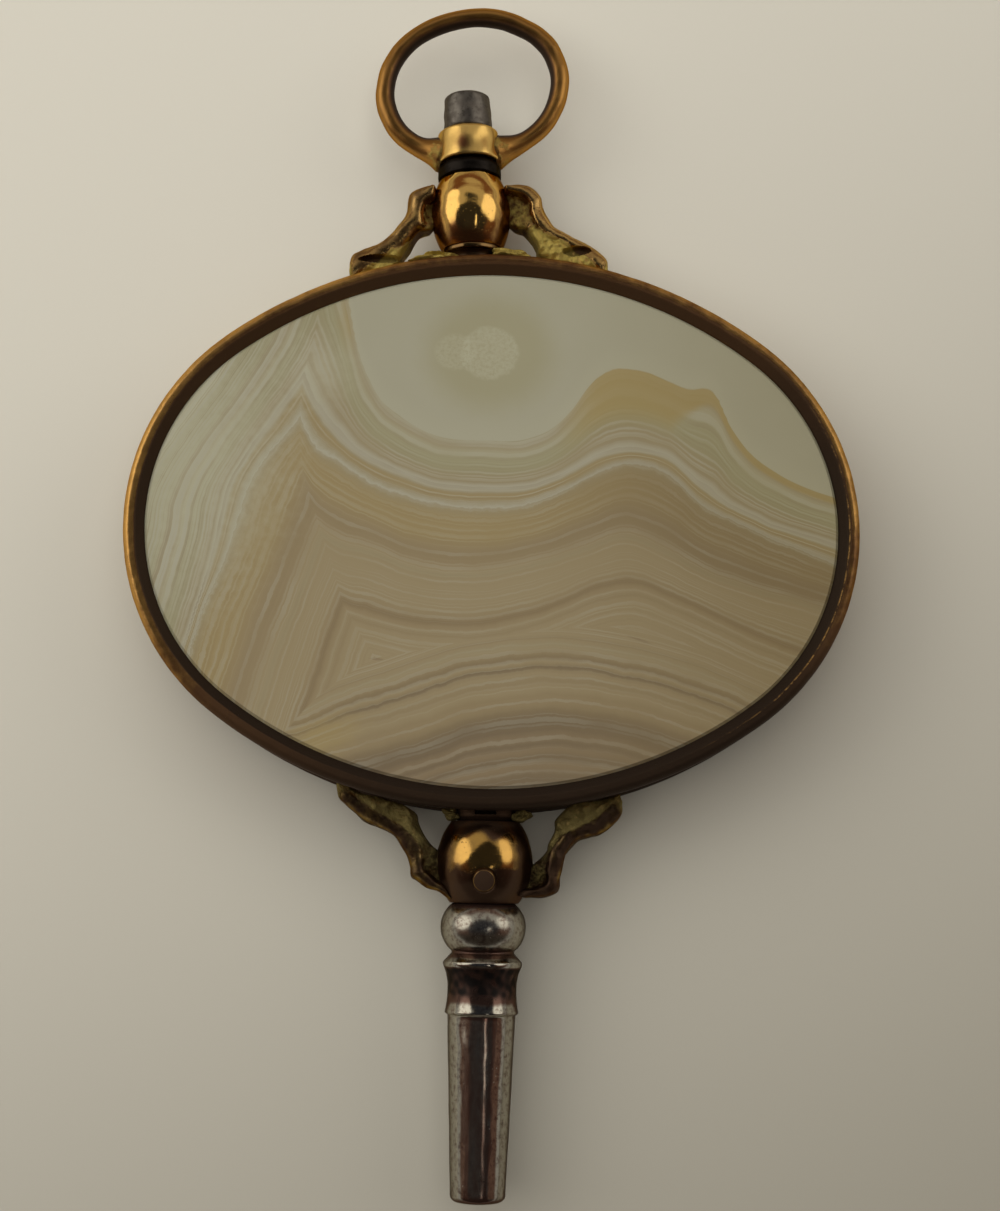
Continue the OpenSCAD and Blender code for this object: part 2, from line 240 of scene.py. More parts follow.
def mesh_object(name: str, skins: Sequence[Skin], placed: Placement) -> bpy.types.Object:
    """Makes one object of several skins, with outward faces, smooth shading and marks.

    Args:
        name: the piece's name.
        skins: closed surfaces in millimetres.
        placed: puts their points in the row frame.

    Returns:
        The linked object, at the origin, with its place in its mesh.
    """
    vertices, faces, start = [], [], 0
    for skin in skins:
        points = placed(skin.vertices())
        quads, triangles = skin.faces()
        if enclosed(points, quads, triangles) < 0:
            quads, triangles = quads[:, ::-1], triangles[:, ::-1]
        faces += (quads + start).tolist() + (triangles + start).tolist()
        vertices.append(points)
        start += len(points)
    mesh = bpy.data.meshes.new(name)
    mesh.from_pydata(np.vstack(vertices).tolist(), [], faces)
    for mark in sorted({mark for skin in skins for mark in skin.marks}, key=lambda item: item.value):
        layer = mesh.attributes.new(mark.value, "FLOAT", "POINT")
        values = np.concatenate([skin.values(mark) for skin in skins])
        layer.data.foreach_set("value", values.astype(np.float32))
    mesh.shade_smooth()
    mesh.set_sharp_from_angle(angle=CREASE)
    made = bpy.data.objects.new(name, mesh)
    bpy.context.scene.collection.objects.link(made)
    return made


def hand_marks(points: Array, size: float, seed: int) -> Array:
    """Smooth random field of about unit height: a sum of plane waves of near this wavelength.

    Args:
        points: places, with x, y and z last.
        size: wavelength in millimetres.
        seed: start of the random draw.

    Returns:
        One value for each point.
    """
    draw = np.random.default_rng(seed)
    waves = 20
    ways = draw.normal(size=(waves, 3))
    ways *= 2 * np.pi / (np.linalg.norm(ways, axis=1) * size * draw.uniform(0.7, 1.6, waves))[:, None]
    return np.cos(points @ ways.T + draw.uniform(0, 2 * np.pi, waves)).sum(-1) / math.sqrt(waves / 2)


def clamp(values: Array) -> Array:
    """Values held between 0 and 1."""
    return np.clip(values, 0, 1)


def highest(*marks: Array) -> Array:
    """The greatest of several marks at each point."""
    return reduce(np.maximum, marks)


def lobe(at: Array, middle: float, width: float, power: int = 4) -> Array:
    """Curve that is 1 at its middle and falls on both sides: exp(-((at - middle) / width)^power)."""
    return np.exp(-(((at - middle) / width) ** power))


def circle(count: int) -> Array:
    """Angles of points spaced evenly round a circle, in radians."""
    return np.linspace(0, 2 * np.pi, count, endpoint=False)


def arc(centre: Point, radius: float, start: float, end: float, count: int) -> Array:
    """Points on a circle between two angles in degrees: centre + radius (cos a, sin a)."""
    angle = np.radians(np.linspace(start, end, count))
    return np.stack([centre[0] + radius * np.cos(angle), centre[1] + radius * np.sin(angle)], -1)


def barrel(middle: float, end: float, low: float, high: float, count: int = 40) -> Array:
    """Profile of a barrel: the arc through its end radius, its middle radius and its end radius again.

    Args:
        middle: radius at its middle.
        end: radius at its ends.
        low: height of one end.
        high: height of the other end.
        count: points along the arc.

    Returns:
        Radius and height of each point.
    """
    half, rise = (high - low) / 2, middle - end
    radius = (half * half + rise * rise) / (2 * rise)
    reach = math.degrees(math.asin(half / radius))
    return arc((middle - radius, (low + high) / 2), radius, -reach, reach, count)


def rounded(corners: Array, radius: float, closed: bool = False, steps: int = 5) -> Array:
    """Rounds a line's corners, each by (1-t)^2 A + 2t(1-t) C + t^2 B.

    Args:
        corners: the line's points C.
        radius: distance of A and B from C along its two sides, at most 0.45 of a side.
        closed: whether the last corner joins the first.
        steps: points along each rounding.

    Returns:
        The rounded line's points.
    """
    def along(side: Array) -> Array:
        """Points at the rounding's distance from each corner, along a side."""
        length = np.maximum(np.linalg.norm(side, axis=1, keepdims=True), 1e-9)
        return corners + side / length * np.minimum(radius, 0.45 * length)

    t = np.linspace(0, 1, steps)[None, :, None]
    a = along(np.roll(corners, 1, 0) - corners)[:, None]
    b = along(np.roll(corners, -1, 0) - corners)[:, None]
    curve = (1 - t) ** 2 * a + 2 * t * (1 - t) * corners[:, None] + t**2 * b
    if closed:
        return curve.reshape(-1, 2)
    return np.vstack([corners[:1], curve[1:-1].reshape(-1, 2), corners[-1:]])


def spaced(line: Array, gap: float, closed: bool = False) -> Array:
    """Sets out a line's points again at an even distance of about this gap along it.

    Args:
        line: the points.
        gap: the wanted distance.
        closed: whether the last point joins the first.

    Returns:
        The evenly spaced points.
    """
    whole = np.vstack([line, line[:1]]) if closed else line
    run = np.concatenate([[0], np.cumsum(np.linalg.norm(np.diff(whole, axis=0), axis=1))])
    count = max(int(round(run[-1] / gap)), 8)
    at = np.linspace(0, run[-1], count, endpoint=not closed)
    return np.stack([np.interp(at, run, whole[:, axis]) for axis in range(whole.shape[1])], -1)


def flowing(points: Sequence[Point], count: int) -> Array:
    """Catmull-Rom curve through points: on each stretch a cubic whose slopes join its neighbours' ends.

    Args:
        points: what the curve runs through.
        count: points along the curve.

    Returns:
        The curve's points.
    """
    knots = np.asarray(points, float)
    knots = np.vstack([2 * knots[0] - knots[1], knots, 2 * knots[-1] - knots[-2]])
    at = np.linspace(0, len(points) - 1, count)
    stretch = np.minimum(at.astype(int), len(points) - 2)
    t = (at - stretch)[:, None]
    p, q, r, s = (knots[stretch + step] for step in range(4))
    return 0.5 * (2 * q + (r - p) * t + (2 * p - 5 * q + 4 * r - s) * t**2 + (3 * q - p - 3 * r + s) * t**3)


def curvature_marks(line: Array, reach: float, closed: bool = False) -> dict[Mark, Array]:
    """Marks a profile's raised edges and its hollows from how fast it turns.

    The turn at a point is the cross product of the unit steps before and after it, over the step's length.
    Left turns are raised, because the outside lies on the profile's right.

    Args:
        line: evenly spaced profile points.
        reach: how much of a mark a turn of 1 per millimetre makes.
        closed: whether the profile is a loop.

    Returns:
        The EDGE and RECESS marks, as one value for each profile point.
    """
    before = line - np.roll(line, 1, 0)
    after = np.roll(line, -1, 0) - line
    lengths = np.maximum(np.linalg.norm(before, axis=1) * np.linalg.norm(after, axis=1), 1e-9)
    turn = (before[:, 0] * after[:, 1] - before[:, 1] * after[:, 0]) / lengths / np.sqrt(lengths)
    if not closed:
        turn[[0, -1]] = 0
    soft = np.convolve(np.pad(turn, 3, mode="wrap" if closed else "edge"), np.ones(7) / 7, mode="valid")
    return {Mark.EDGE: clamp(soft * reach), Mark.RECESS: clamp(-soft * reach)}


def turned(profile: Array, columns: int) -> Array:
    """Carries a profile of radius r and height y round the y axis: (r sin a, y, r cos a).

    Args:
        profile: radius and height of each row.
        columns: points round the axis.

    Returns:
        Rows by columns by 3.
    """
    angle = circle(columns)
    radius, height = profile[:, :1], np.repeat(profile[:, 1:], columns, 1)
    return np.stack([radius * np.sin(angle), height, radius * np.cos(angle)], -1)


def oval(width: float, height: float, angle: Array) -> tuple[Array, Array]:
    """Four-arc oval set out on 3-4-5 triangles, by the angle a of its outward normal n = (cos a, sin a).

    With u = (width - height) / 4, the end arcs have centres (+-3u, 0) and radius width / 2 - 3u, and the
    long arcs (0, -+4u) and width / 2 + 2u. They meet where |cos a| is 3/5. A point is its arc's centre +
    radius n.

    Args:
        width: the oval's length.
        height: the oval's width.
        angle: angles of the normals, in radians.

    Returns:
        The points and the normals.
    """
    unit = (width - height) / 4
    normal = np.stack([np.cos(angle), np.sin(angle)], -1)
    way = np.sign(normal)
    at_end = np.abs(normal[..., 0]) > 0.6
    radius = np.where(at_end, width / 2 - 3 * unit, width / 2 + 2 * unit)
    x = np.where(at_end, 3 * unit * way[..., 0], 0)
    y = np.where(at_end, 0, -4 * unit * way[..., 1])
    return np.stack([x, y], -1) + radius[..., None] * normal, normal


class Graph:
    """A node tree with short ways to add nodes and join them."""

    def __init__(self, tree: bpy.types.NodeTree) -> None:
        """Starts on a tree that is empty or has only its output."""
        self.tree = tree

    def add(self, kind: str, inputs: dict | None = None, **settings: object) -> bpy.types.Node:
        """Adds a node.

        Args:
            kind: the node's type, without its ShaderNode prefix.
            inputs: its sockets, as feed takes them.
            settings: the node's own properties.

        Returns:
            The node.
        """
        node = self.tree.nodes.new("ShaderNode" + kind)
        for name, value in settings.items():
            setattr(node, name, value)
        self.feed(node, inputs or {})
        return node

    def feed(self, node: bpy.types.Node, inputs: dict) -> None:
        """Sets or joins a node's sockets.

        Args:
            node: the node.
            inputs: sockets by name or number, each with a value or the output that feeds it.
        """
        for socket, value in inputs.items():
            if isinstance(value, Socket):
                self.tree.links.new(value, node.inputs[socket])
            else:
                node.inputs[socket].default_value = value

    @cached_property
    def place(self) -> Socket:
        """Object coordinates in millimetres."""
        return self.millimetres()

    def maths(self, operation: str, *values: Value) -> Socket:
        """Adds a Math node on these values or outputs and returns its result."""
        return self.add("Math", dict(enumerate(values)), operation=operation).outputs[0]

    def times(self, *values: Value) -> Socket:
        """The product of two values or outputs."""
        return self.maths("MULTIPLY", *values)

    def scaled(self, value: Value, factor: Value, offset: Value) -> Socket:
        """A value times a factor, plus an offset."""
        return self.maths("MULTIPLY_ADD", value, factor, offset)

    def ramped(self, value: Value, low: float, high: float, start: float = 0, end: float = 1) -> Socket:
        """Smooth step from start to end as the value goes from low to high."""
        inputs = {0: value, 1: low, 2: high, 3: start, 4: end}
        return self.add("MapRange", inputs, interpolation_type="SMOOTHSTEP").outputs[0]

    def mixed(self, share: Value, a: Shade, b: Shade, blend: str = "MIX") -> Socket:
        """Mixes two colours by a share and returns the colour."""
        a, b = (value if isinstance(value, Socket) else (*value, 1.0) for value in (a, b))
        return self.add("Mix", {0: share, 6: a, 7: b}, data_type="RGBA", blend_type=blend).outputs[2]

    def mark(self, mark: Mark) -> Socket:
        """Reads a mark that the mesh carries."""
        return self.add("Attribute", attribute_name=mark.value).outputs["Fac"]

    def noise(self, scale: float, detail: float = 3, roughness: float = 0.55) -> Socket:
        """Noise over the place, with its scale to a millimetre."""
        inputs = {"Vector": self.place, "Scale": scale, "Detail": detail, "Roughness": roughness}
        return self.add("TexNoise", inputs).outputs[0]

    def millimetres(self, stretch: Place = (1, 1, 1)) -> Socket:
        """Object coordinates in millimetres, stretched by these factors.

        Args:
            stretch: a factor for each axis.

        Returns:
            The coordinates' output.
        """
        place = self.add("TexCoord").outputs["Object"]
        scale = tuple(factor / MM for factor in stretch)
        return self.add("Mapping", {"Vector": place, "Scale": scale}).outputs[0]

    def bump(self, height: Socket, depth: float) -> Socket:
        """Normals of a bump from a height of 0 to 1, with this depth in millimetres."""
        return self.add("Bump", {"Height": height, "Distance": depth * MM, "Strength": 1.0}).outputs[0]

    def group(self, tree: bpy.types.NodeTree, inputs: dict) -> bpy.types.Node:
        """Places a shared effect with its own values."""
        return self.add("Group", inputs, node_tree=tree)


class Effects:
    """Shader effects that several finishes share, each a node group made once."""

    def __init__(self) -> None:
        """Builds the groups."""
        self.tarnish = self._tarnish()
        self.scuffs = self._scuffs()
        self.pits = self._pits()

    @staticmethod
    def _open(
        name: str, numbers: Sequence[str], outputs: Sequence[str],
    ) -> tuple[Graph, dict[str, Socket], bpy.types.Node]:
        """Starts a group with a place, some numbers and its results as sockets.

        Args:
            name: the group's name.
            numbers: label of each number that it takes.
            outputs: label of each result.

        Returns:
            Its graph, its inputs by label and its output node.
        """
        tree = bpy.data.node_groups.new(name, "ShaderNodeTree")
        kinds = {"Place": "NodeSocketVector", **dict.fromkeys(numbers, "NodeSocketFloat")}
        for label, kind in kinds.items():
            tree.interface.new_socket(name=label, in_out="INPUT", socket_type=kind)
        for label in outputs:
            tree.interface.new_socket(name=label, in_out="OUTPUT", socket_type="NodeSocketFloat")
        entry = tree.nodes.new("NodeGroupInput")
        given = {label: entry.outputs[label] for label in kinds}
        return Graph(tree), given, tree.nodes.new("NodeGroupOutput")

    def _tarnish(self) -> bpy.types.NodeTree:
        """Brown film: blotches that fill hollows and what the Recess input marks, painted shade included,
        and leave worn edges bare.

        Returns:
            The group.
        """
        graph, given, out = self._open("tarnish", ("Grain", "Cover", "Edge", "Recess"), ("Mask", "Film"))
        blotches = {"Vector": given["Place"], "Scale": given["Grain"], "Detail": 6.0, "Roughness": 0.62}
        clouds = {"Vector": given["Place"], "Scale": 0.22, "Detail": 2.0}
        blotch, cloud = (graph.add("TexNoise", inputs).outputs[0] for inputs in (blotches, clouds))
        level = graph.scaled(cloud, 0.8, blotch)
        level = graph.maths("ADD", level, given["Recess"])
        level = graph.scaled(given["Edge"], -0.45, level)
        level = graph.maths("ADD", level, given["Cover"])
        graph.feed(out, {"Mask": graph.ramped(level, 1.15, 1.75), "Film": graph.ramped(level, 0.75, 1.5)})
        return graph.tree

    def _scuffs(self) -> bpy.types.NodeTree:
        """Fine scratches: the ridges of two stretched noises, as a height from 0 to 1.

        Returns:
            The group.
        """
        graph, given, out = self._open("scuffs", ("Grain",), ("Height",))
        heights = []
        for stretch in ((1.0, 0.12, 0.5), (0.15, 1.0, 0.6)):
            drawn = {"Vector": given["Place"], "Scale": stretch, "Rotation": (0.3, 0.2, 0.5)}
            lines = graph.add("Mapping", drawn).outputs[0]
            noise = graph.add("TexNoise", {"Vector": lines, "Scale": given["Grain"], "Detail": 4.0})
            heights.append(noise.outputs[0])
        graph.feed(out, {"Height": graph.maths("MAXIMUM", *heights)})
        return graph.tree

    def _pits(self) -> bpy.types.NodeTree:
        """Small dark pits: the middles of some cells of a cell pattern.

        Returns:
            The group.
        """
        graph, given, out = self._open("pits", ("Grain", "Amount"), ("Mask",))
        pattern = {"Vector": given["Place"], "Scale": given["Grain"], "Randomness": 1.0}
        cells = graph.add("TexVoronoi", pattern).outputs[0]
        chosen = graph.add("TexNoise", {"Vector": given["Place"], "Scale": 0.7, "Detail": 3.0}).outputs[0]
        size = graph.times(graph.times(chosen, chosen), given["Amount"])
        graph.feed(out, {"Mask": graph.ramped(graph.maths("SUBTRACT", size, cells), 0, 0.12)})
        return graph.tree


def new_material(name: str, colour: Colour) -> tuple[bpy.types.Material, Graph, bpy.types.Node]:
    """Makes a node material with a Principled shader.

    Args:
        name: the material's name.
        colour: its plain colour in a viewport.

    Returns:
        The material, its graph and the shader.
    """
    made = bpy.data.materials.new(name)
    made.use_nodes = True
    made.diffuse_color = (*colour, 1)
    made.node_tree.nodes.clear()
    graph = Graph(made.node_tree)
    shader = graph.add("BsdfPrincipled")
    graph.add("OutputMaterial", {"Surface": shader.outputs[0]})
    return made, graph, shader


@dataclass(frozen=True)
class GiltFinish:
    """Gilding over brass that has worn and gone brown.

    Attributes:
        name: the material's name.
        gold: colour of the bare gilding.
        brown: colour of the tarnish.
        cover: how far the tarnish spreads, from about -0.5 to 0.5.
        grain: blotches to a millimetre.
        gloss: roughness of the bare gilding.
        dull: roughness of the tarnish.
        bite: depth of the surface's marks, in millimetres.
        solder: colour of the solder's olive gold.
        dirt_and_shade: colour of the grime in the hollows, and of the painted shade marked with RECESS.
        slot: the record's material slot; not used.
    """

    name: str
    gold: Colour = (0.82, 0.53, 0.15)
    brown: Colour = (0.22, 0.10, 0.035)
    cover: float = 0.0
    grain: float = 1.2
    gloss: float = 0.18
    dull: float = 0.34
    bite: float = 0.008
    solder: Colour = (0.52, 0.40, 0.105)
    dirt_and_shade: Colour = (0.024, 0.014, 0.009)
    slot: Slot = Slot.FITTINGS

    def material(self, effects: Effects) -> bpy.types.Material:
        """Builds the material: gold, then a brown film, solder with its olive tint, grime and painted shade
        where RECESS is marked, and gold on worn edges and painted highlights where EDGE is marked.

        Args:
            effects: the shared node groups.

        Returns:
            The material.
        """
        made, graph, shader = new_material(self.name, self.gold)
        marks = (Mark.EDGE, Mark.RECESS, Mark.SOLDER, Mark.STAIN)
        edge, recess, solder, stain = (graph.mark(mark) for mark in marks)
        # STAIN is tarnish, and on the beads partly painted reflection and shade.
        cover = graph.maths("ADD", stain, self.cover)
        film = graph.group(effects.tarnish, {
            "Place": graph.place, "Grain": self.grain, "Cover": cover, "Edge": edge, "Recess": recess,
        })
        pits = graph.group(effects.pits, {"Place": graph.place, "Grain": 5.0, "Amount": 0.4}).outputs[0]
        scuffs = graph.group(effects.scuffs, {"Place": graph.place, "Grain": 6.0}).outputs[0]
        coppery = tuple(0.55 * a + 0.45 * b for a, b in zip(self.gold, self.brown))
        colour = graph.mixed(film.outputs["Film"], self.gold, coppery)
        colour = graph.mixed(film.outputs["Mask"], colour, self.brown)
        lumps = graph.noise(2.6, 5, 0.65)
        ragged = graph.maths("ADD", solder, graph.scaled(lumps, 1.2, -0.6))
        soldered = graph.ramped(ragged, 0.35, 0.75)
        colour = graph.mixed(soldered, colour, self.solder)
        # RECESS turns the colour towards dirt_and_shade: grime in hollows, and painted shade where the
        # pieces mark it.
        dark_share = graph.maths("MAXIMUM", graph.ramped(recess, 0.3, 1.0), graph.times(pits, 0.7))
        colour = graph.mixed(dark_share, colour, self.dirt_and_shade)
        # EDGE lays gold on worn bare edges, and painted highlights where the pieces mark them.
        bright = graph.times(graph.ramped(edge, 0.3, 1.0), graph.ramped(lumps, 0.42, 0.6))
        colour = graph.mixed(graph.times(bright, 0.7), colour, self.gold)
        rough = graph.ramped(film.outputs["Mask"], 0, 1, self.gloss, self.dull)
        rough = graph.scaled(soldered, 0.12, rough)
        rough = graph.scaled(dark_share, 0.08, rough)
        height = graph.scaled(lumps, graph.scaled(soldered, 6.0, 0.5), scuffs)
        height = graph.maths("SUBTRACT", height, pits)
        metal = graph.scaled(soldered, -0.25, graph.ramped(dark_share, 0, 1, 1.0, 0.4))
        graph.feed(shader, {
            "Base Color": colour, "Roughness": rough, "Metallic": graph.maths("MAXIMUM", metal, 0.3),
            "Specular Tint": (0.55, 0.4, 0.25, 1), "Normal": graph.bump(height, self.bite),
        })
        return made


@dataclass(frozen=True)
class SteelFinish:
    """Steel with brown stains drawn out along it.

    Attributes:
        name: the material's name.
        bare: colour of the clean steel.
        stain: colour of the stains.
        cover: how far the stains spread, from about -0.5 to 0.5.
        gloss: roughness of the clean steel.
        dull: roughness of the stains.
        along: how much shorter the stains are across the key's axis than along it.
        speckle: how strongly small dark specks show.
        bite: depth of the surface's marks, in millimetres.
        dirt_and_shade: colour of the grime in the hollows, and of the painted shade marked with RECESS.
        slot: the record's material slot; not used.
    """

    name: str
    bare: Colour = (0.50, 0.47, 0.40)
    stain: Colour = (0.17, 0.10, 0.075)
    cover: float = 0.0
    gloss: float = 0.14
    dull: float = 0.24
    along: float = 6.0
    speckle: float = 0.75
    bite: float = 0.004
    dirt_and_shade: Colour = (0.02, 0.017, 0.016)
    slot: Slot = Slot.POST

    def material(self, effects: Effects) -> bpy.types.Material:
        """Builds the material: bare steel, streaked stains, a few pits, and grime and painted shade where
        RECESS is marked.

        Args:
            effects: the shared node groups.

        Returns:
            The material.
        """
        made, graph, shader = new_material(self.name, self.bare)
        drawn = graph.millimetres((1, 1 / self.along, 1))
        edge, recess, stain = (graph.mark(mark) for mark in (Mark.EDGE, Mark.RECESS, Mark.STAIN))
        # STAIN is stains, and on the pipe partly painted reflection and shadow.
        cover = graph.maths("ADD", stain, self.cover)
        film = graph.group(effects.tarnish, {
            "Place": drawn, "Grain": 1.1, "Cover": cover, "Edge": edge, "Recess": recess,
        })
        pits = graph.group(effects.pits, {"Place": graph.place, "Grain": 4.0, "Amount": 0.5}).outputs[0]
        scuffs = graph.group(effects.scuffs, {"Place": drawn, "Grain": 7.0}).outputs[0]
        speckle = graph.ramped(graph.noise(3.4, 6, 0.75), 0.45, 0.66)
        speckled = graph.mixed(graph.times(speckle, self.speckle), self.bare, self.stain)
        colour = graph.mixed(film.outputs["Mask"], speckled, self.stain)
        # RECESS turns the colour towards dirt_and_shade: grime in hollows, and painted shade on the pipe's
        # limbs and under the bead.
        dark_share = graph.maths("MAXIMUM", graph.ramped(recess, 0.25, 1.0), graph.times(pits, 0.7))
        colour = graph.mixed(dark_share, colour, self.dirt_and_shade)
        rough = graph.ramped(film.outputs["Mask"], 0, 1, self.gloss, self.dull)
        rough = graph.scaled(dark_share, 0.3, rough)
        rough = graph.scaled(graph.mark(Mark.SATIN), 0.09, rough)
        height = graph.maths("SUBTRACT", graph.scaled(film.outputs["Film"], 0.3, scuffs), pits)
        dull = graph.maths("MAXIMUM", dark_share, film.outputs["Mask"])
        graph.feed(shader, {
            "Base Color": colour, "Roughness": rough, "Metallic": graph.ramped(dull, 0, 1, 1.0, 0.9),
            "Specular Tint": (0.5, 0.46, 0.4, 1), "Normal": graph.bump(height, self.bite),
        })
        return made


@dataclass(frozen=True)
class PhotoCamera:
    """The camera that took the photograph, in millimetres of the row frame.

    Attributes:
        place: where its lens stands.
        tilt: its lean from straight down, towards the bow, in degrees.
        roll: its turn about its own line of sight, in degrees.
        focal_px: focal length in pixels of the photograph.
        photo_px: the photograph's width and height.
        sensor: width of its sensor, in millimetres.
    """

    place: Place = (0.55, -17.3, 107.3)
    tilt: float = 8.58
    roll: float = 1.17
    focal_px: float = 1908.0
    photo_px: tuple[int, int] = (1000, 1211)
    sensor: float = 36.0

    def axes(self) -> Matrix:
        """Returns the camera's right, up and back vectors as the columns of a matrix."""
        tilt, roll = math.radians(self.tilt), math.radians(self.roll)
        return Matrix.Rotation(tilt, 3, "X") @ Matrix.Rotation(roll, 3, "Z")

    def on_plane(self, pixels: Sequence[Point], height: float) -> Array:
        """Finds where pixels of the photograph meet a level plane.

        The ray of a pixel is (px - cx, cy - py, -f) in camera axes, and reaches the plane at the multiple
        of it that drops from the lens to the plane's height.

        Args:
            pixels: points in the photograph.
            height: the plane's z, in millimetres.

        Returns:
            The x and y of each point, in millimetres of the row frame.
        """
        seen = np.asarray(pixels, float)
        rays = np.stack([seen[:, 0] - self.photo_px[0] / 2, self.photo_px[1] / 2 - seen[:, 1],
                         np.full(len(seen), -self.focal_px)], -1) @ np.array(self.axes()).T
        reach = (height - self.place[2]) / rays[:, 2]
        return np.array(self.place[:2]) + rays[:, :2] * reach[:, None]

    def build(self) -> None:
        """Makes the camera and gives it to the scene."""
        data = bpy.data.cameras.new("camera")
        data.sensor_width = self.sensor
        data.lens = self.focal_px / max(self.photo_px) * self.sensor
        data.clip_start = 0.005
        made = bpy.data.objects.new("camera", data)
        made.matrix_world = Matrix.Translation(Vector(self.place) * MM) @ self.axes().to_4x4()
        bpy.context.scene.collection.objects.link(made)
        bpy.context.scene.camera = made


@dataclass(frozen=True)
class AgateBands:
    """Guide curves of the agate's bands, as seen in the photograph (pixels), and the fields between them.

    The bands are nested chevrons round a wedge near the stone's left. Each has a left limb, a right limb
    and, under the wedge, a lower limb. A limb's field is a depth in millimetres that grows inwards,
    interpolated between the guide curves that the limb crosses, and the pattern's depth is the least one.
    Curves in _left guide the left limb, wedge and dome the lower one, and the others the right one.
    """

    bowl: Curve = (
        (335, 215), (348, 290), (356, 339), (373, 387), (401, 417), (426, 432), (488, 441), (528, 439),
        (556, 426), (572, 410), (590, 385), (609, 371), (636, 370), (687, 389), (718, 398), (730, 425),
        (744, 446), (778, 474), (811, 490), (850, 502),
    )
    white: Curve = (
        (270, 285), (288, 336), (303, 376), (314, 401), (330, 426), (360, 454), (389, 467), (428, 482),
        (488, 488), (537, 485), (572, 470), (602, 454), (650, 451), (671, 458), (691, 477), (721, 500),
        (755, 518), (801, 534), (850, 550),
    )
    jagged: Curve = (
        (270, 340), (288, 390), (300, 419), (309, 439), (337, 461), (364, 480), (405, 498), (440, 506),
        (488, 510), (537, 503), (572, 488), (599, 474), (622, 466), (664, 474), (680, 486), (696, 502),
        (733, 522), (820, 560), (850, 572),
    )
    pale: Curve = (
        (290, 500), (326, 542), (378, 559), (413, 573), (484, 578), (543, 566), (586, 553), (627, 541),
        (664, 556), (712, 580), (785, 602), (850, 620),
    )
    chevron: Curve = (
        (310, 580), (343, 603), (371, 612), (405, 621), (451, 626), (488, 624), (526, 616), (560, 605),
        (595, 590), (641, 585), (675, 598), (710, 614), (755, 635), (850, 672),
    )
    white_left: Curve = (
        (345, 285), (322, 344), (303, 376), (277, 412), (249, 451), (229, 486), (217, 539), (199, 600),
        (170, 690), (150, 760),
    )
    jagged_left: Curve = (
        (352, 320), (322, 384), (300, 419), (268, 456), (249, 490), (238, 522), (226, 559), (203, 607),
        (190, 649), (160, 740),
    )
    pale_left: Curve = (
        (375, 420), (345, 490), (324, 541), (306, 590), (286, 640), (263, 711), (250, 770),
    )
    chevron_left: Curve = (
        (400, 460), (365, 550), (343, 603), (324, 660), (305, 712), (285, 780),
    )
    wedge: Curve = (
        (270, 712), (305, 706), (330, 693), (378, 676), (405, 667), (447, 653), (488, 645), (520, 641),
        (560, 640), (600, 644), (650, 654), (700, 669), (740, 686), (830, 725),
    )
    dome: Curve = (
        (270, 775), (330, 758), (366, 748), (413, 735), (470, 716), (506, 709), (574, 706), (620, 713),
        (688, 733), (740, 752), (830, 790),
    )
    middle: Point = (487, 441)

    def fields(self, points: Array, camera: PhotoCamera, height: float) -> dict[Mark, Array]:
        """Works out the three limbs' depths at points of the stone.

        Args:
            points: x and y in millimetres of the row frame.
            camera: the photograph's camera.
            height: z of the stone's face.

        Returns:
            The depths as marks.
        """
        x, y = points[..., 0], points[..., 1]

        def across(curve: Sequence[Point], at: Array) -> Array:
            """Height of a guide curve at places along x."""
            guide = camera.on_plane(curve, height)
            return self._eased(guide[:, 0], guide[:, 1], at)

        def down(curve: Sequence[Point]) -> Array:
            """Place along x of a guide curve at each point's y."""
            guide = camera.on_plane(curve, height)[::-1]
            return self._eased(guide[:, 1], guide[:, 0], y)

        nested = (self.bowl, self.white, self.jagged, self.pale, self.chevron)
        middle = camera.on_plane([self.middle], height)[:, 0]
        levels = -np.concatenate([across(curve, middle) for curve in nested])
        levels = levels - levels[0]
        right = [-across(curve, x) for curve in nested]
        beside = (self.white_left, self.jagged_left, self.pale_left, self.chevron_left)
        left = [down(curve) for curve in beside]
        lower = [across(curve, x) for curve in (self.dome, self.wedge)]
        return {
            Mark.RIGHT_LIMB: self._between(-y, right, levels, 1.0, 1.0),
            Mark.LEFT_LIMB: self._between(x, left, levels[1:], 1.0, 0.9),
            Mark.LOWER_LIMB: self._between(y, lower, levels[3:], 0.75, 2.2),
        }

    @staticmethod
    def _eased(at: Array, value: Array, wanted: Array) -> Array:
        """Cubic through points in rising order: Hermite pieces whose slopes are the neighbours' mean.

        Args:
            at: places of the points, in rising order.
            value: height of each point.
            wanted: places to read.

        Returns:
            The heights there.
        """
        slope = np.gradient(value, at)
        piece = np.clip(np.searchsorted(at, wanted) - 1, 0, len(at) - 2)
        span = at[piece + 1] - at[piece]
        t = np.clip((wanted - at[piece]) / span, -1.0, 2.0)
        inside = clamp(t)
        rise, back = inside**2 * (3 - 2 * inside), inside * (1 - inside)
        curve = value[piece] * (1 - rise) + value[piece + 1] * rise
        curve = curve + span * back * (slope[piece] * (1 - inside) - slope[piece + 1] * inside)
        return curve + span * (t - inside) * np.where(t < 0, slope[piece], slope[piece + 1])

    @staticmethod
    def _between(at: Array, guides: Sequence[Array], levels: Array, before: float, after: float) -> Array:
        """Depth between guides: straight from level to level, with slopes of its own outside them.

        Args:
            at: places.
            guides: place of each guide, in rising order.
            levels: depth at each guide.
            before: slope before the first guide.
            after: slope past the last guide.

        Returns:
            The depths.
        """
        depth = levels[0] + (at - guides[0]) * before
        for step in range(len(guides) - 1):
            share = (at - guides[step]) / np.maximum(guides[step + 1] - guides[step], 0.05)
            depth = np.where(share > 0, levels[step] + share * (levels[step + 1] - levels[step]), depth)
        return np.where(at > guides[-1], levels[-1] + (at - guides[-1]) * after, depth)


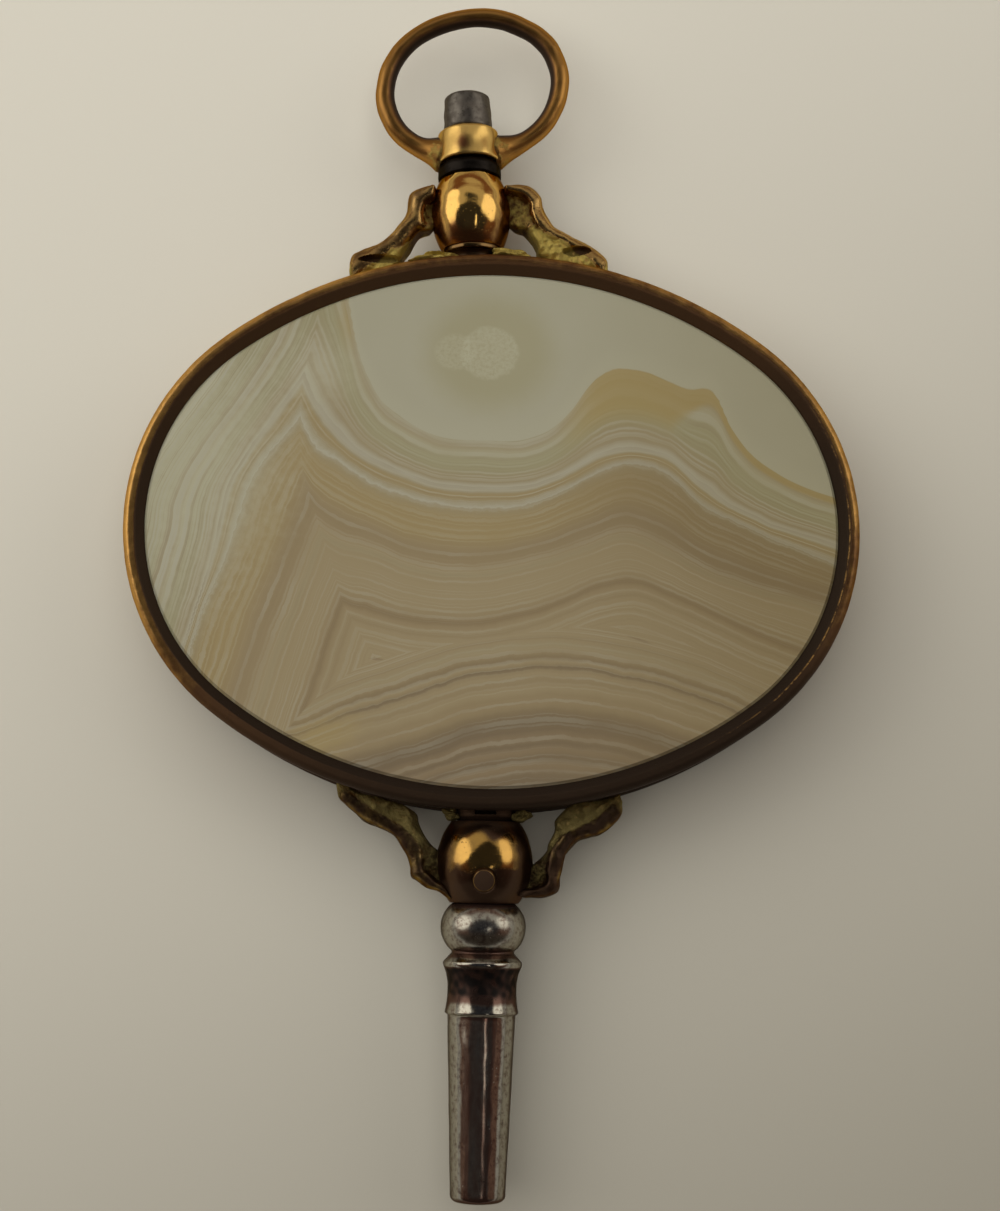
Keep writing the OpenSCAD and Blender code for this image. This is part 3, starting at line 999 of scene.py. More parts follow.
class Tone(Enum):
    """The agate's colours, from milky chalcedony to plum brown."""

    MILK = (0.360, 0.350, 0.264)
    PALE = (0.432, 0.424, 0.314)
    GREEN = (0.310, 0.292, 0.182)
    LINE = (0.350, 0.330, 0.226)
    WHITE = (0.385, 0.375, 0.296)
    SAND = (0.300, 0.258, 0.160)
    TAN = (0.304, 0.242, 0.125)
    OCHRE = (0.328, 0.256, 0.109)
    BEIGE = (0.300, 0.247, 0.148)
    MAUVE = (0.208, 0.161, 0.092)
    FAWN = (0.268, 0.214, 0.125)
    BROWN = (0.226, 0.172, 0.098)
    UMBER = (0.224, 0.176, 0.104)
    PURPLE = (0.178, 0.139, 0.088)
    PLUM = (0.238, 0.184, 0.113)


@dataclass(frozen=True)
class Fleck:
    """A small mark in the stone.

    Attributes:
        place: its middle, in pixels of the photograph.
        size: its half sizes in millimetres.
        lean: its turn in degrees.
        soft: share of its size over which it fades.
        strength: how much of its tone it lays on.
        tone: its colour.
    """

    place: Point
    size: Point
    lean: float
    soft: float
    strength: float
    tone: Tone


@dataclass(frozen=True)
class AgateFinish:
    """Polished agate, its bands painted by the depth that the mesh carries.

    Attributes:
        name: the material's name.
        camera: the photograph's camera, through which the flecks and the eye are placed.
        plane: height of the stone's face, in millimetres of the row frame.
        eye: the eye's middle, in pixels of the photograph.
        beside: the middle of the faint eye beside it.
        gloss: roughness of the polish.
        right_end_shade: share of each channel that the stone keeps at its right end, as painted shade that
            darkens and warms it.
        reach: least and greatest depth of the colour ramps.
        bands: depth in millimetres and tone of each change of colour, in rising order.
        lower_bands: the same under the wedge.
        flecks: small marks.
        slot: the record's material slot; not used.
    """

    name: str
    camera: PhotoCamera
    plane: float
    eye: Point = (490, 353)
    beside: Point = (455, 352)
    gloss: float = 0.1
    right_end_shade: Colour = (0.84, 0.81, 0.73)
    reach: tuple[float, float] = (-5.0, 12.0)
    bands: tuple[tuple[float, Tone], ...] = (
        (-3.6, Tone.PALE), (-2.9, Tone.GREEN), (-2.2, Tone.PALE), (-1.5, Tone.GREEN),
        (-0.4, Tone.GREEN), (-0.05, Tone.LINE), (0.27, Tone.SAND), (0.7, Tone.LINE), (1.13, Tone.GREEN),
        (1.6, Tone.GREEN), (2.0, Tone.SAND), (2.25, Tone.SAND), (2.62, Tone.WHITE), (2.86, Tone.SAND),
        (3.08, Tone.TAN), (3.5, Tone.SAND), (3.72, Tone.WHITE), (3.86, Tone.SAND), (4.4, Tone.TAN),
        (5.4, Tone.TAN), (6.1, Tone.FAWN), (6.6, Tone.FAWN), (7.2, Tone.BEIGE), (7.4, Tone.SAND),
        (7.65, Tone.BEIGE), (9.3, Tone.BEIGE), (9.75, Tone.FAWN), (9.97, Tone.BROWN), (10.2, Tone.FAWN),
        (10.45, Tone.BEIGE), (10.7, Tone.FAWN), (11.0, Tone.BEIGE),
    )
    lower_bands: tuple[tuple[float, Tone], ...] = (
        (4.7, Tone.PURPLE), (5.2, Tone.PLUM), (5.45, Tone.PURPLE), (5.8, Tone.PLUM),
        (6.05, Tone.PURPLE), (6.25, Tone.PLUM), (6.6, Tone.PURPLE), (7.0, Tone.PURPLE),
        (7.4, Tone.UMBER), (7.6, Tone.FAWN), (8.0, Tone.FAWN), (8.3, Tone.BEIGE), (8.55, Tone.FAWN),
        (8.8, Tone.BEIGE), (8.96, Tone.FAWN), (9.06, Tone.PURPLE), (9.16, Tone.FAWN),
        (9.28, Tone.BEIGE), (9.45, Tone.UMBER), (9.62, Tone.FAWN), (9.8, Tone.BEIGE), (9.97, Tone.SAND),
        (10.15, Tone.BEIGE), (10.4, Tone.FAWN), (10.8, Tone.BEIGE),
    )
    flecks: tuple[Fleck, ...] = (
        Fleck((320, 738), (3.2, 1.6), 20, 0.9, 0.55, Tone.OCHRE),
        Fleck((185, 470), (7.5, 12.0), -16, 1.0, 0.7, Tone.PALE),
        Fleck((318, 368), (3.0, 3.0), 0, 1.0, 0.5, Tone.PALE),
        Fleck((347, 322), (0.8, 2.4), 8, 1.0, 0.45, Tone.OCHRE),
        Fleck((377, 659), (0.5, 0.09), -4, 0.5, 0.8, Tone.PLUM),
        Fleck((640, 640), (0.9, 0.08), -17, 0.5, 0.8, Tone.PLUM),
    )
    slot: Slot = Slot.AGATE

    def material(self, effects: Effects) -> bpy.types.Material:
        """Builds the material: the banded depth, fine stripes, the milky bowl with its eye, and the polish.

        Args:
            effects: the shared node groups.

        Returns:
            The material.
        """
        made, graph, shader = new_material(self.name, Tone.BEIGE.value)
        limbs = (Mark.LEFT_LIMB, Mark.RIGHT_LIMB, Mark.LOWER_LIMB)
        left, right, lower = (graph.mark(mark) for mark in limbs)
        upper = graph.maths("MINIMUM", left, right)
        depth = self._wavered(graph, graph.maths("MINIMUM", upper, lower))
        under = graph.ramped(graph.maths("SUBTRACT", upper, lower), -0.05, 0.15)
        over = self._ramp(graph, depth, self.bands)
        colour = graph.mixed(under, over, self._ramp(graph, depth, self.lower_bands))
        x = graph.add("SeparateXYZ", {0: graph.place}).outputs[0]
        warm = graph.times(graph.ramped(x, -2.0, 14.0), graph.ramped(depth, 3.0, 4.6))
        warm = graph.times(warm, graph.ramped(depth, 6.6, 7.8, 0.65, 0.2))
        colour = graph.mixed(warm, colour, Tone.MAUVE.value)
        for fleck in self.flecks:
            colour = self._flecked(graph, colour, fleck)
        colour = self._striped(graph, colour, depth, graph.ramped(x, -17.0, -7.0, 1.6, 1.0))
        thin = graph.scaled(graph.ramped(x, 9.5, 12.5), 3.2, 1.0)
        ochre = graph.ramped(graph.times(right, thin), 1.1, 2.0, 0.8, 0.0)
        ochre = graph.times(ochre, graph.ramped(x, 3.0, 6.0))
        colour = graph.mixed(ochre, colour, Tone.OCHRE.value)
        colour = self._milky(graph, colour, left, right)
        # Painted shade: the stone darkens and warms towards its right end.
        colour = graph.mixed(graph.ramped(x, 1.0, 18.0), colour, self.right_end_shade, "MULTIPLY")
        rough = graph.ramped(graph.noise(0.35, 4), 0.3, 0.7, self.gloss, self.gloss * 1.8)
        scuffs = graph.group(effects.scuffs, {"Place": graph.place, "Grain": 3.0}).outputs[0]
        graph.feed(shader, {
            "Base Color": colour, "Roughness": rough, "IOR": 1.54, "Normal": graph.bump(scuffs, 0.0015),
        })
        return made

    def _ramp(self, graph: Graph, depth: Socket, bands: Sequence[tuple[float, Tone]]) -> Socket:
        """Turns depth into colour by a row of bands.

        Args:
            graph: the material's graph.
            depth: the depth's output.
            bands: depth and tone of each stop.

        Returns:
            The colour's output.
        """
        low, high = self.reach
        ramp = graph.add("ValToRGB", {0: graph.add("MapRange", {0: depth, 1: low, 2: high}).outputs[0]})
        stops = ramp.color_ramp.elements
        for number, (at, tone) in enumerate(bands):
            stop = stops[number] if number < 2 else stops.new(1.0)
            stop.position = (at - low) / (high - low)
            stop.color = (*tone.value, 1)
        return ramp.outputs[0]

    def _away(self, graph: Graph, pixel: Point, size: Point, lean: float) -> Socket:
        """Distance from a pixel's place on the stone, in half sizes of an ellipse leaned by an angle.

        Args:
            graph: the material's graph.
            pixel: the ellipse's middle in the photograph.
            size: its half sizes in millimetres.
            lean: its turn in degrees.

        Returns:
            The distance's output.
        """
        middle = self.camera.on_plane([pixel], self.plane)[0]
        centred = graph.add("VectorMath", {0: graph.place, 1: (*middle, 0.0)}, operation="SUBTRACT")
        turn = {"Vector": centred.outputs[0], "Rotation": (0.0, 0.0, math.radians(-lean))}
        shrink = {0: graph.add("Mapping", turn).outputs[0], 1: (1 / size[0], 1 / size[1], 0.0)}
        scaled = graph.add("VectorMath", shrink, operation="MULTIPLY").outputs[0]
        return graph.add("VectorMath", {0: scaled}, operation="LENGTH").outputs["Value"]

    def _flecked(self, graph: Graph, colour: Socket, fleck: Fleck) -> Socket:
        """Lays a fleck on the colour.

        Args:
            graph: the material's graph.
            colour: the colour so far.
            fleck: the mark to lay on.

        Returns:
            The colour's output.
        """
        away = self._away(graph, fleck.place, fleck.size, fleck.lean)
        away = graph.maths("ADD", away, graph.scaled(graph.noise(2.0, 3), 0.6, -0.3))
        share = graph.ramped(away, 1 - fleck.soft, 1.0, fleck.strength, 0.0)
        return graph.mixed(share, colour, fleck.tone.value)

    @staticmethod
    def _wavered(graph: Graph, depth: Socket) -> Socket:
        """Lets the bands waver, with more of a ragged edge at the thin white line.

        Args:
            graph: the material's graph.
            depth: the depth's output.

        Returns:
            The wavering depth's output.
        """
        slow = graph.scaled(graph.noise(0.5, 2), 0.26, -0.13)
        quick = graph.scaled(graph.noise(2.4, 3), 0.36, -0.18)
        fading = graph.ramped(depth, 3.9, 5.2, 1.0, 0.25)
        ragged = graph.times(graph.ramped(depth, 3.2, 3.6), fading)
        share = graph.scaled(ragged, 0.8, 0.14)
        depth = graph.maths("ADD", depth, slow)
        return graph.maths("ADD", depth, graph.times(quick, share))

    @staticmethod
    def _striped(graph: Graph, colour: Socket, depth: Socket, share: Socket) -> Socket:
        """Lays fine light and dark stripes over the bands, strongest outside the thin white line.

        Args:
            graph: the material's graph.
            colour: the colour so far.
            depth: the depth's output.
            share: how strong the stripes are.

        Returns:
            The colour's output.
        """
        wide = {"W": depth, "Scale": 2.2, "Detail": 2.0, "Roughness": 0.6}
        thin = {"W": depth, "Scale": 5.5, "Detail": 1.0}
        lines = (graph.add("TexNoise", inputs, noise_dimensions="1D").outputs[0] for inputs in (wide, thin))
        wave = graph.maths("ADD", *(graph.ramped(line, 0.35, 0.65) for line in lines))
        patch = graph.ramped(graph.noise(0.3, 2), 0.3, 0.65, 0.35, 1.0)
        outer = graph.times(graph.ramped(depth, 3.2, 4.2, 1.0, 0.5), patch)
        outer = graph.times(outer, share)
        light = graph.times(graph.ramped(wave, 1.0, 1.7), graph.times(outer, 0.5))
        dark = graph.times(graph.ramped(wave, 1.0, 0.1), graph.times(outer, 0.32))
        colour = graph.mixed(light, colour, Tone.WHITE.value)
        return graph.mixed(dark, colour, Tone.BROWN.value)

    def _milky(self, graph: Graph, colour: Socket, left: Socket, right: Socket) -> Socket:
        """Fills the bowl over the bands with milk, its faint rings and the speckled eye.

        Args:
            graph: the material's graph.
            colour: the colour so far.
            left: depth of the left limb.
            right: depth of the right limb.

        Returns:
            The colour's output.
        """
        away = self._away(graph, self.eye, (1.0, 0.93), 0.0)
        away = graph.maths("ADD", away, graph.scaled(graph.noise(1.2, 4), 0.5, -0.25))
        ring = graph.ramped(away, 2.2, 4.6)
        milk = graph.mixed(graph.scaled(ring, 0.75, 0.25), Tone.GREEN.value, Tone.MILK.value)
        low = graph.times(graph.ramped(right, -1.6, -0.1), 0.16)
        milk = graph.mixed(low, milk, Tone.PALE.value)
        speckle = graph.ramped(graph.noise(5.0, 5, 0.7), 0.3, 0.62)
        inside = graph.ramped(away, 1.45, 1.75, 1.0, 0.0)
        eye = graph.times(inside, graph.scaled(speckle, 0.45, 0.08))
        milk = graph.mixed(eye, milk, Tone.PALE.value)
        beside = graph.ramped(self._away(graph, self.beside, (1.0, 0.93), 0.0), 0.9, 1.25, 0.4, 0.0)
        milk = graph.mixed(graph.times(beside, speckle), milk, Tone.PALE.value)
        edge = graph.ramped(graph.maths("SUBTRACT", left, right), -0.4, 0.6)
        bowl = graph.times(graph.ramped(right, -0.05, 0.03, 1.0, 0.0), edge)
        return graph.mixed(bowl, colour, milk)


Finish = GiltFinish | SteelFinish | AgateFinish


class Bench:
    """Makes pieces, dresses them and hands them to the frame."""

    def __init__(self, key: KeyFrame) -> None:
        """Keeps the key's frame and builds the shared effects.

        Args:
            key: where the key's parts stand.
        """
        self.key = key
        self.effects = Effects()
        self._materials: dict[str, bpy.types.Material] = {}

    def piece(self, name: str, skins: Sequence[Skin], placed: Placement, finish: Finish,
              nodes: Sequence[str] = (), body: Body = Body.KEY) -> bpy.types.Object:
        """Makes a piece, gives it its finish and lets it ride on its body.

        Args:
            name: the piece's name.
            skins: its closed surfaces.
            placed: puts them in the row frame.
            finish: its finish, which knows the record's material slot.
            nodes: the CAD nodes that it stands for.
            body: the body that it moves with.

        Returns:
            The object.
        """
        made = mesh_object(name, skins, placed)
        if finish.name not in self._materials:
            self._materials[finish.name] = finish.material(self.effects)
        made.data.materials.append(self._materials[finish.name])
        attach(made, body.value)
        if nodes:
            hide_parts(*nodes)
        LOG.info("%s: %d faces on body %s", name, len(made.data.polygons), body.value)
        return made


@dataclass
class Case:
    """The oval band, its two bezels and the stone that they hold.

    Depths count inwards from the outside of the case, and heights from its middle plane.

    Attributes:
        bench: makes the pieces.
        camera: the photograph's camera.
        front: height of the front bezel's land.
        joint: height of the joint between the band and a bezel.
        proud: depth of the band's outside.
        wall: thickness of the band.
        gap: room between the band and the stone.
        bezel_w: depth of a bezel's inner edge.
        land_w: width of the flat land.
        chamfer: from a bezel's inner edge to the stone's flat table.
        lip: height of the inner edge over the stone.
        face: height of the stone's table.
        table_in: depth where the bevel would reach the table's height.
        slope: fall of the bevel.
        columns: points round the oval.
        rim: finish of the bezels.
        band: finish of the band.
    """

    bench: Bench
    camera: PhotoCamera
    front: float = 3.0
    joint: float = 2.0
    proud: float = 0.18
    wall: float = 0.5
    gap: float = 0.05
    bezel_w: float = 1.15
    land_w: float = 0.36
    chamfer: float = 0.15
    lip: float = 0.08
    face: float = 2.6
    table_in: float = 1.65
    slope: float = math.tan(math.radians(20))
    columns: int = 640
    rim: GiltFinish = GiltFinish(
        "gilt_rim", gold=(0.74, 0.415, 0.12), brown=(0.2, 0.1, 0.045), dirt_and_shade=(0.017, 0.0115, 0.0085),
        cover=0.24, grain=1.5, gloss=0.36, dull=0.42, bite=0.02, slot=Slot.CASE,
    )
    band: GiltFinish = GiltFinish(
        "gilt_band", gold=(0.70, 0.42, 0.125), brown=(0.20, 0.10, 0.04),
        cover=0.3, gloss=0.26, slot=Slot.CASE,
    )

    def build(self) -> None:
        """Makes the band, both bezels and the stone."""
        piece, placed, plane = self.bench.piece, self.bench.key.case, self.bench.key.centre[2] + self.face
        piece("case_band_skin", [self._band()], placed, self.band, ["case_band"])
        piece("front_bezel_skin", [self._bezel(1, 11)], placed, self.rim, ["front_bezel"])
        piece("back_bezel_skin", [self._bezel(-1, 12)], placed, self.rim, ["back_bezel"])
        finish = AgateFinish("banded_agate", self.camera, plane)
        piece("agate_plate_stone", [self._stone(plane)], placed, finish, ["agate_plate"])

    def _bevel(self, depth: float | Array) -> float | Array:
        """Height of the stone's bevel at a depth: it falls from the table by the slope."""
        return self.face - (self.table_in - depth) * self.slope

    def _swept(self, profile: Array) -> Array:
        """Carries a profile round the oval: outline + x * normal, at the height y.

        Args:
            profile: x, which is a depth below zero, and y of each row.

        Returns:
            Columns by rows by 3.
        """
        key = self.bench.key
        outline, normal = oval(key.width, key.height, circle(self.columns))
        flat = outline[:, None] + normal[:, None] * profile[None, :, :1]
        height = np.broadcast_to(profile[None, :, 1:], (*flat.shape[:2], 1))
        return np.concatenate([flat, height], -1)

    def _band(self) -> Skin:
        """The band: a thin upright strip between the bezels.

        Returns:
            The swept ring.
        """
        out, inside, top = -self.proud, -self.proud - self.wall, self.joint
        corners = np.array([(out, -top), (out, top), (inside, top), (inside, -top)])
        profile = spaced(rounded(corners, 0.05, closed=True), 0.09, closed=True)
        points = self._swept(profile)
        recess = np.where(np.abs(profile[:, 1]) > top - 0.15, 0.7, 0.0)
        points[..., :2] *= 1 - 0.0006 * np.clip(1 + hand_marks(points, 3.0, 5), 0, None)[..., None]
        return Skin(points, {Mark.RECESS: recess[None]}, ring=True)

    def _bezel(self, side: int, seed: int) -> Skin:
        """A bezel: a round outside, a flat land and a slope down to the stone, worn along its ridges.

        Args:
            side: 1 for the front and -1 for the back.
            seed: start of the random wear.

        Returns:
            The swept ring.
        """
        high = self.front - self.joint
        radius = (high * high + self.land_w**2 / 4) / (2 * high)
        top = math.degrees(math.asin((high - radius) / radius))
        lip_z = self._bevel(self.bezel_w)
        inside = self.proud + self.wall
        outline = np.vstack([
            arc((-radius, self.joint + radius), radius, -90, top, 16),
            [(-radius - self.land_w / 2, self.front), (-self.bezel_w, lip_z + self.lip)],
            [(-self.bezel_w, lip_z), (-inside, self._bevel(inside)), (-inside, self.joint)],
        ])
        profile = spaced(rounded(outline, 0.07, closed=True), 0.045, closed=True)
        points = self._swept(profile)
        worn = np.clip(hand_marks(points, 1.6, seed), 0, 2)
        worn = worn + 0.5 * np.clip(hand_marks(points, 0.5, seed + 40), 0, 2)
        upper = clamp((points[..., 2] - self.joint) / high)
        points[..., :2] *= 1 - 0.0004 * (1 + worn * upper)[..., None]
        points[..., 2] -= 0.008 * worn * upper
        points[..., 2] *= side
        return Skin(points, self._rim_marks(profile, radius), ring=True)

    def _rim_marks(self, profile: Array, radius: float) -> dict[Mark, Array]:
        """Marks a bezel's grime, worn edges and painted light and shade, which differ by the angle round the
        rim.

        Args:
            profile: x and y of each row.
            radius: radius of the bezel's round outside.

        Returns:
            The EDGE and RECESS marks.
        """
        depth, height = -profile[:, 0], profile[:, 1]
        ridge = radius + self.land_w / 2
        around = np.linspace(0, 360, self.columns, endpoint=False)[:, None]
        about_right = (around + 180) % 360 - 180
        # The slope and the land carry grime that thins at the top and the left, as painted light.
        on_slope = clamp((depth - ridge + 0.12) / 0.1)
        on_slope = on_slope * (0.95 - 0.24 * lobe(around, 90, 62) - 0.06 * lobe(around, 180, 45))
        on_land = 0.84 * clamp((depth - radius + 0.08) / 0.12)
        on_land = on_land * (1 - 0.75 * lobe(around, 180, 55) - 0.3 * lobe(around, 90, 40))
        near_band = 0.7 * clamp((self.joint + 0.25 - height) / 0.25)
        # Painted light and shade by side: the gilding stays bright on the left and upper right, and darkens
        # elsewhere, most at the lower right.
        painted_light_left = lobe(around, 158, 58)
        painted_light_right = 0.66 * lobe(about_right, 28, 56) * (1 - painted_light_left)
        painted_side_shade = 0.58 * (1 - painted_light_left - painted_light_right) + 0.34 * lobe(around, 290, 60)
        raised = curvature_marks(profile, 0.12, closed=True)[Mark.EDGE]
        # The worn ridge line is kept only on the right, where it shows as a highlight: partly wear, partly
        # painted highlight.
        line = lobe(depth, ridge - 0.08, 0.05, 2) * (height > self.joint + 0.5)
        worn_ridge_glint = 0.82 * line * lobe(about_right, -12, 56)
        return {
            Mark.EDGE: highest(0.3 * raised, worn_ridge_glint),
            Mark.RECESS: highest(on_slope, near_band, on_land, painted_side_shade),
        }

    def _stone(self, plane: float) -> Skin:
        """The stone: a flat table, bevels to its girdle and the same at the back, with the bands' depths.

        Rows inside the table are its outline times a share of 0 to 1, and rows of the edge lie at a depth.

        Args:
            plane: height of its face, in millimetres of the row frame.

        Returns:
            The closed skin.
        """
        key, rows, columns = self.bench.key, 84, 480
        outline, normal = oval(key.width, key.height, circle(columns))
        table = outline - normal * (self.bezel_w + self.chamfer)
        front = np.linspace(0.01, 1, rows)[:, None, None] * table
        depths = np.linspace(self.bezel_w, self.proud + self.wall + self.gap, 4)[:, None, None]
        bevels = np.broadcast_to(self._bevel(depths), (len(depths), columns, 1))
        half = np.concatenate([
            np.concatenate([front, np.full((rows, columns, 1), self.face)], -1),
            np.concatenate([outline - normal * depths, bevels], -1),
        ])
        points = np.concatenate([half, half[::-1] * np.array([1, 1, -1])])
        marks = AgateBands().fields(points[..., :2] + key.centre[:2], self.camera, plane)
        return Skin(points, marks)


@dataclass(frozen=True)
class ScrollForm:
    """A scroll and the solder behind it: a sheet between two edges, from the bead to the scroll's tip.

    Attributes:
        outer: points along the free edge, where the bent strip runs.
        inner: points along the other edge, one for each outer point.
        half: half the thickness of the strip.
        seed: start of its random marks.
        strip: width of the strip.
        fill: height of the solder beside the strip's.
        groove: depth of the crease beside the strip, as a share of its height.
        grime: how dark the grime over the whole scroll is.
        slot: middle and half sizes of a lens-shaped hollow in the solder, darkened as painted shade, or
            nothing.
    """

    outer: Curve
    inner: Curve
    half: float
    seed: int
    strip: float = 1.0
    fill: float = 0.86
    groove: float = 0.06
    grime: float = 0.0
    slot: tuple[Point, Point] | None = None

    def skin(self, side: int, rows: int = 220, columns: int = 96) -> Skin:
        """Lofts the sheet, whose half thickness at a depth d is half * crown(d) * |sin a|^0.36.

        The crown is a round strip along the free edge, a crease beside it, and solder below the strip's
        height, which is thinner at the bead. Depths are from the free edge: width * (1 - cos a) / 2.

        Args:
            side: 1 for the right of the axis and -1 for the left.
            rows: sections along the scroll.
            columns: points round a section.

        Returns:
            The closed skin, with its solder, grime and hollows marked, painted shade on its side walls, its
            slot and the solder by the bead, and painted highlights on its strand and solder.
        """
        outer, inner = flowing(self.outer, rows), flowing(self.inner, rows)
        along = np.linspace(0, 1, rows)[:, None]
        angle = circle(columns)
        w = (1 - np.cos(angle)) / 2
        flat = outer[:, None] * (1 - w)[:, None] + inner[:, None] * w[:, None]
        depth = np.linalg.norm(outer - inner, axis=1)[:, None] * w
        strand = lobe(depth / self.strip, 0.42, 0.5) * clamp((1 - along) / 0.1)
        crease = lobe(depth, self.strip, 0.14, 2) * clamp((along - 0.1) / 0.1)
        level = 0.42 + (self.fill - 0.42) * clamp((along - 0.2) / 0.25)
        crown = level + (1 - level) * strand - self.groove * crease
        z = self.half * crown * np.sign(np.sin(angle)) * np.abs(np.sin(angle)) ** 0.36
        points = np.concatenate([flat, z[..., None]], -1)
        solder = clamp(1.1 - strand) * np.clip((along - 0.3) / 0.25, 0.55, 1)
        lumps = hand_marks(points, 1.1, self.seed) + 0.6 * hand_marks(points, 0.5, self.seed + 1)
        points[..., 2] += np.sign(points[..., 2]) * 0.07 * lumps * np.clip(solder, 0.12, 1)
        shift = np.stack([hand_marks(points, 1.5, self.seed + step) for step in (2, 3)], -1)
        points[..., :2] += 0.03 * shift
        # Painted shade: behind darkens the solder by the bead behind the strip, and thin the sheet's side
        # walls.
        behind = clamp((depth - self.strip) / 0.4) * clamp((0.5 - along) / 0.2)
        dark_share = self.grime * (1 + 0.3 * hand_marks(points, 0.7, self.seed + 4)) * np.clip(strand, 0.4, 1)
        thin = 0.66 * clamp((0.42 - np.abs(np.sin(angle))) / 0.3)
        recess = highest(8 * self.groove * crease, 0.45 * behind, dark_share, thin)
        if self.slot:
            (x, y), (wide, high) = self.slot
            lens = clamp(1 - ((points[..., 0] - x) / wide) ** 2 - ((points[..., 1] - y) / high) ** 2)
            points[..., 2] *= 1 - 0.5 * clamp(lens / 0.5)
            # The lens-shaped hollow darkens as painted shade.
            recess = highest(recess, 0.7 * clamp(lens / 0.3))
        points[..., 0] *= side
        # Painted highlights: small gold glints on the solder and a light line along the strand, both laid on
        # through EDGE.
        painted_glint = clamp(hand_marks(points, 0.35, self.seed + 5) * solder - 0.45)
        marks = {Mark.SOLDER: solder, Mark.RECESS: recess, Mark.EDGE: highest(0.2 * strand, painted_glint)}
        return Skin(points, marks)


def lump(centre: Place, size: Place, lean: float, seed: int) -> Skin:
    """A run of solder: an ellipsoid, leaned in the key's plane and roughened by a random field.

    Args:
        centre: its middle.
        size: its half sizes.
        lean: its turn in degrees.
        seed: start of the random field.

    Returns:
        The closed skin, marked as solder.
    """
    polar = np.linspace(0, np.pi, 30)[1:-1, None]
    angle = circle(48)[None]
    ball = np.stack([
        np.sin(polar) * np.cos(angle), np.sin(polar) * np.sin(angle), np.cos(polar) * np.ones_like(angle),
    ], -1)
    rough = 0.13 * hand_marks(ball, 1.1, seed) + 0.07 * hand_marks(ball, 0.5, seed + 1)
    ball = ball * (1 + rough)[..., None]
    x, y, z = (ball[..., axis] * size[axis] for axis in range(3))
    sin, cos = math.sin(math.radians(lean)), math.cos(math.radians(lean))
    points = np.stack([x * cos - y * sin, x * sin + y * cos, z], -1) + np.array(centre)
    return Skin(points, {Mark.SOLDER: np.ones((1, 1))})


def limb_shade(points: Array, start: float) -> Array:
    """Painted shade that rises from 0 at |x| = start * radius to 0.9 at the limbs of a turned piece."""
    across = np.abs(points[..., 0]) / np.maximum(np.hypot(points[..., 0], points[..., 2]), 0.1)
    return 0.9 * clamp((across - start) / (0.97 - start))


def lathe(
    profile: Array, gap: float, columns: int, seed: int, rough: float, grain: float, reach: float = 0.12,
) -> Skin:
    """A turned piece with hand marks.

    Args:
        profile: radius and height from end to end, the outside on its right.
        gap: distance between rows along the profile.
        columns: points round the axis.
        seed: start of the random marks.
        rough: height of the marks in millimetres.
        grain: size of the marks in millimetres.
        reach: how strongly turns of the profile mark edges and hollows.

    Returns:
        The closed skin, with raised edges and hollows marked.
    """
    line = spaced(profile, gap)
    points = turned(line, columns)
    dent = 1 - rough * (1 + hand_marks(points, grain, seed)) / np.maximum(line[:, :1], 0.3)
    points[..., [0, 2]] *= dent[..., None]
    marks = curvature_marks(line, reach)
    return Skin(points, {mark: value[:, None] for mark, value in marks.items()})


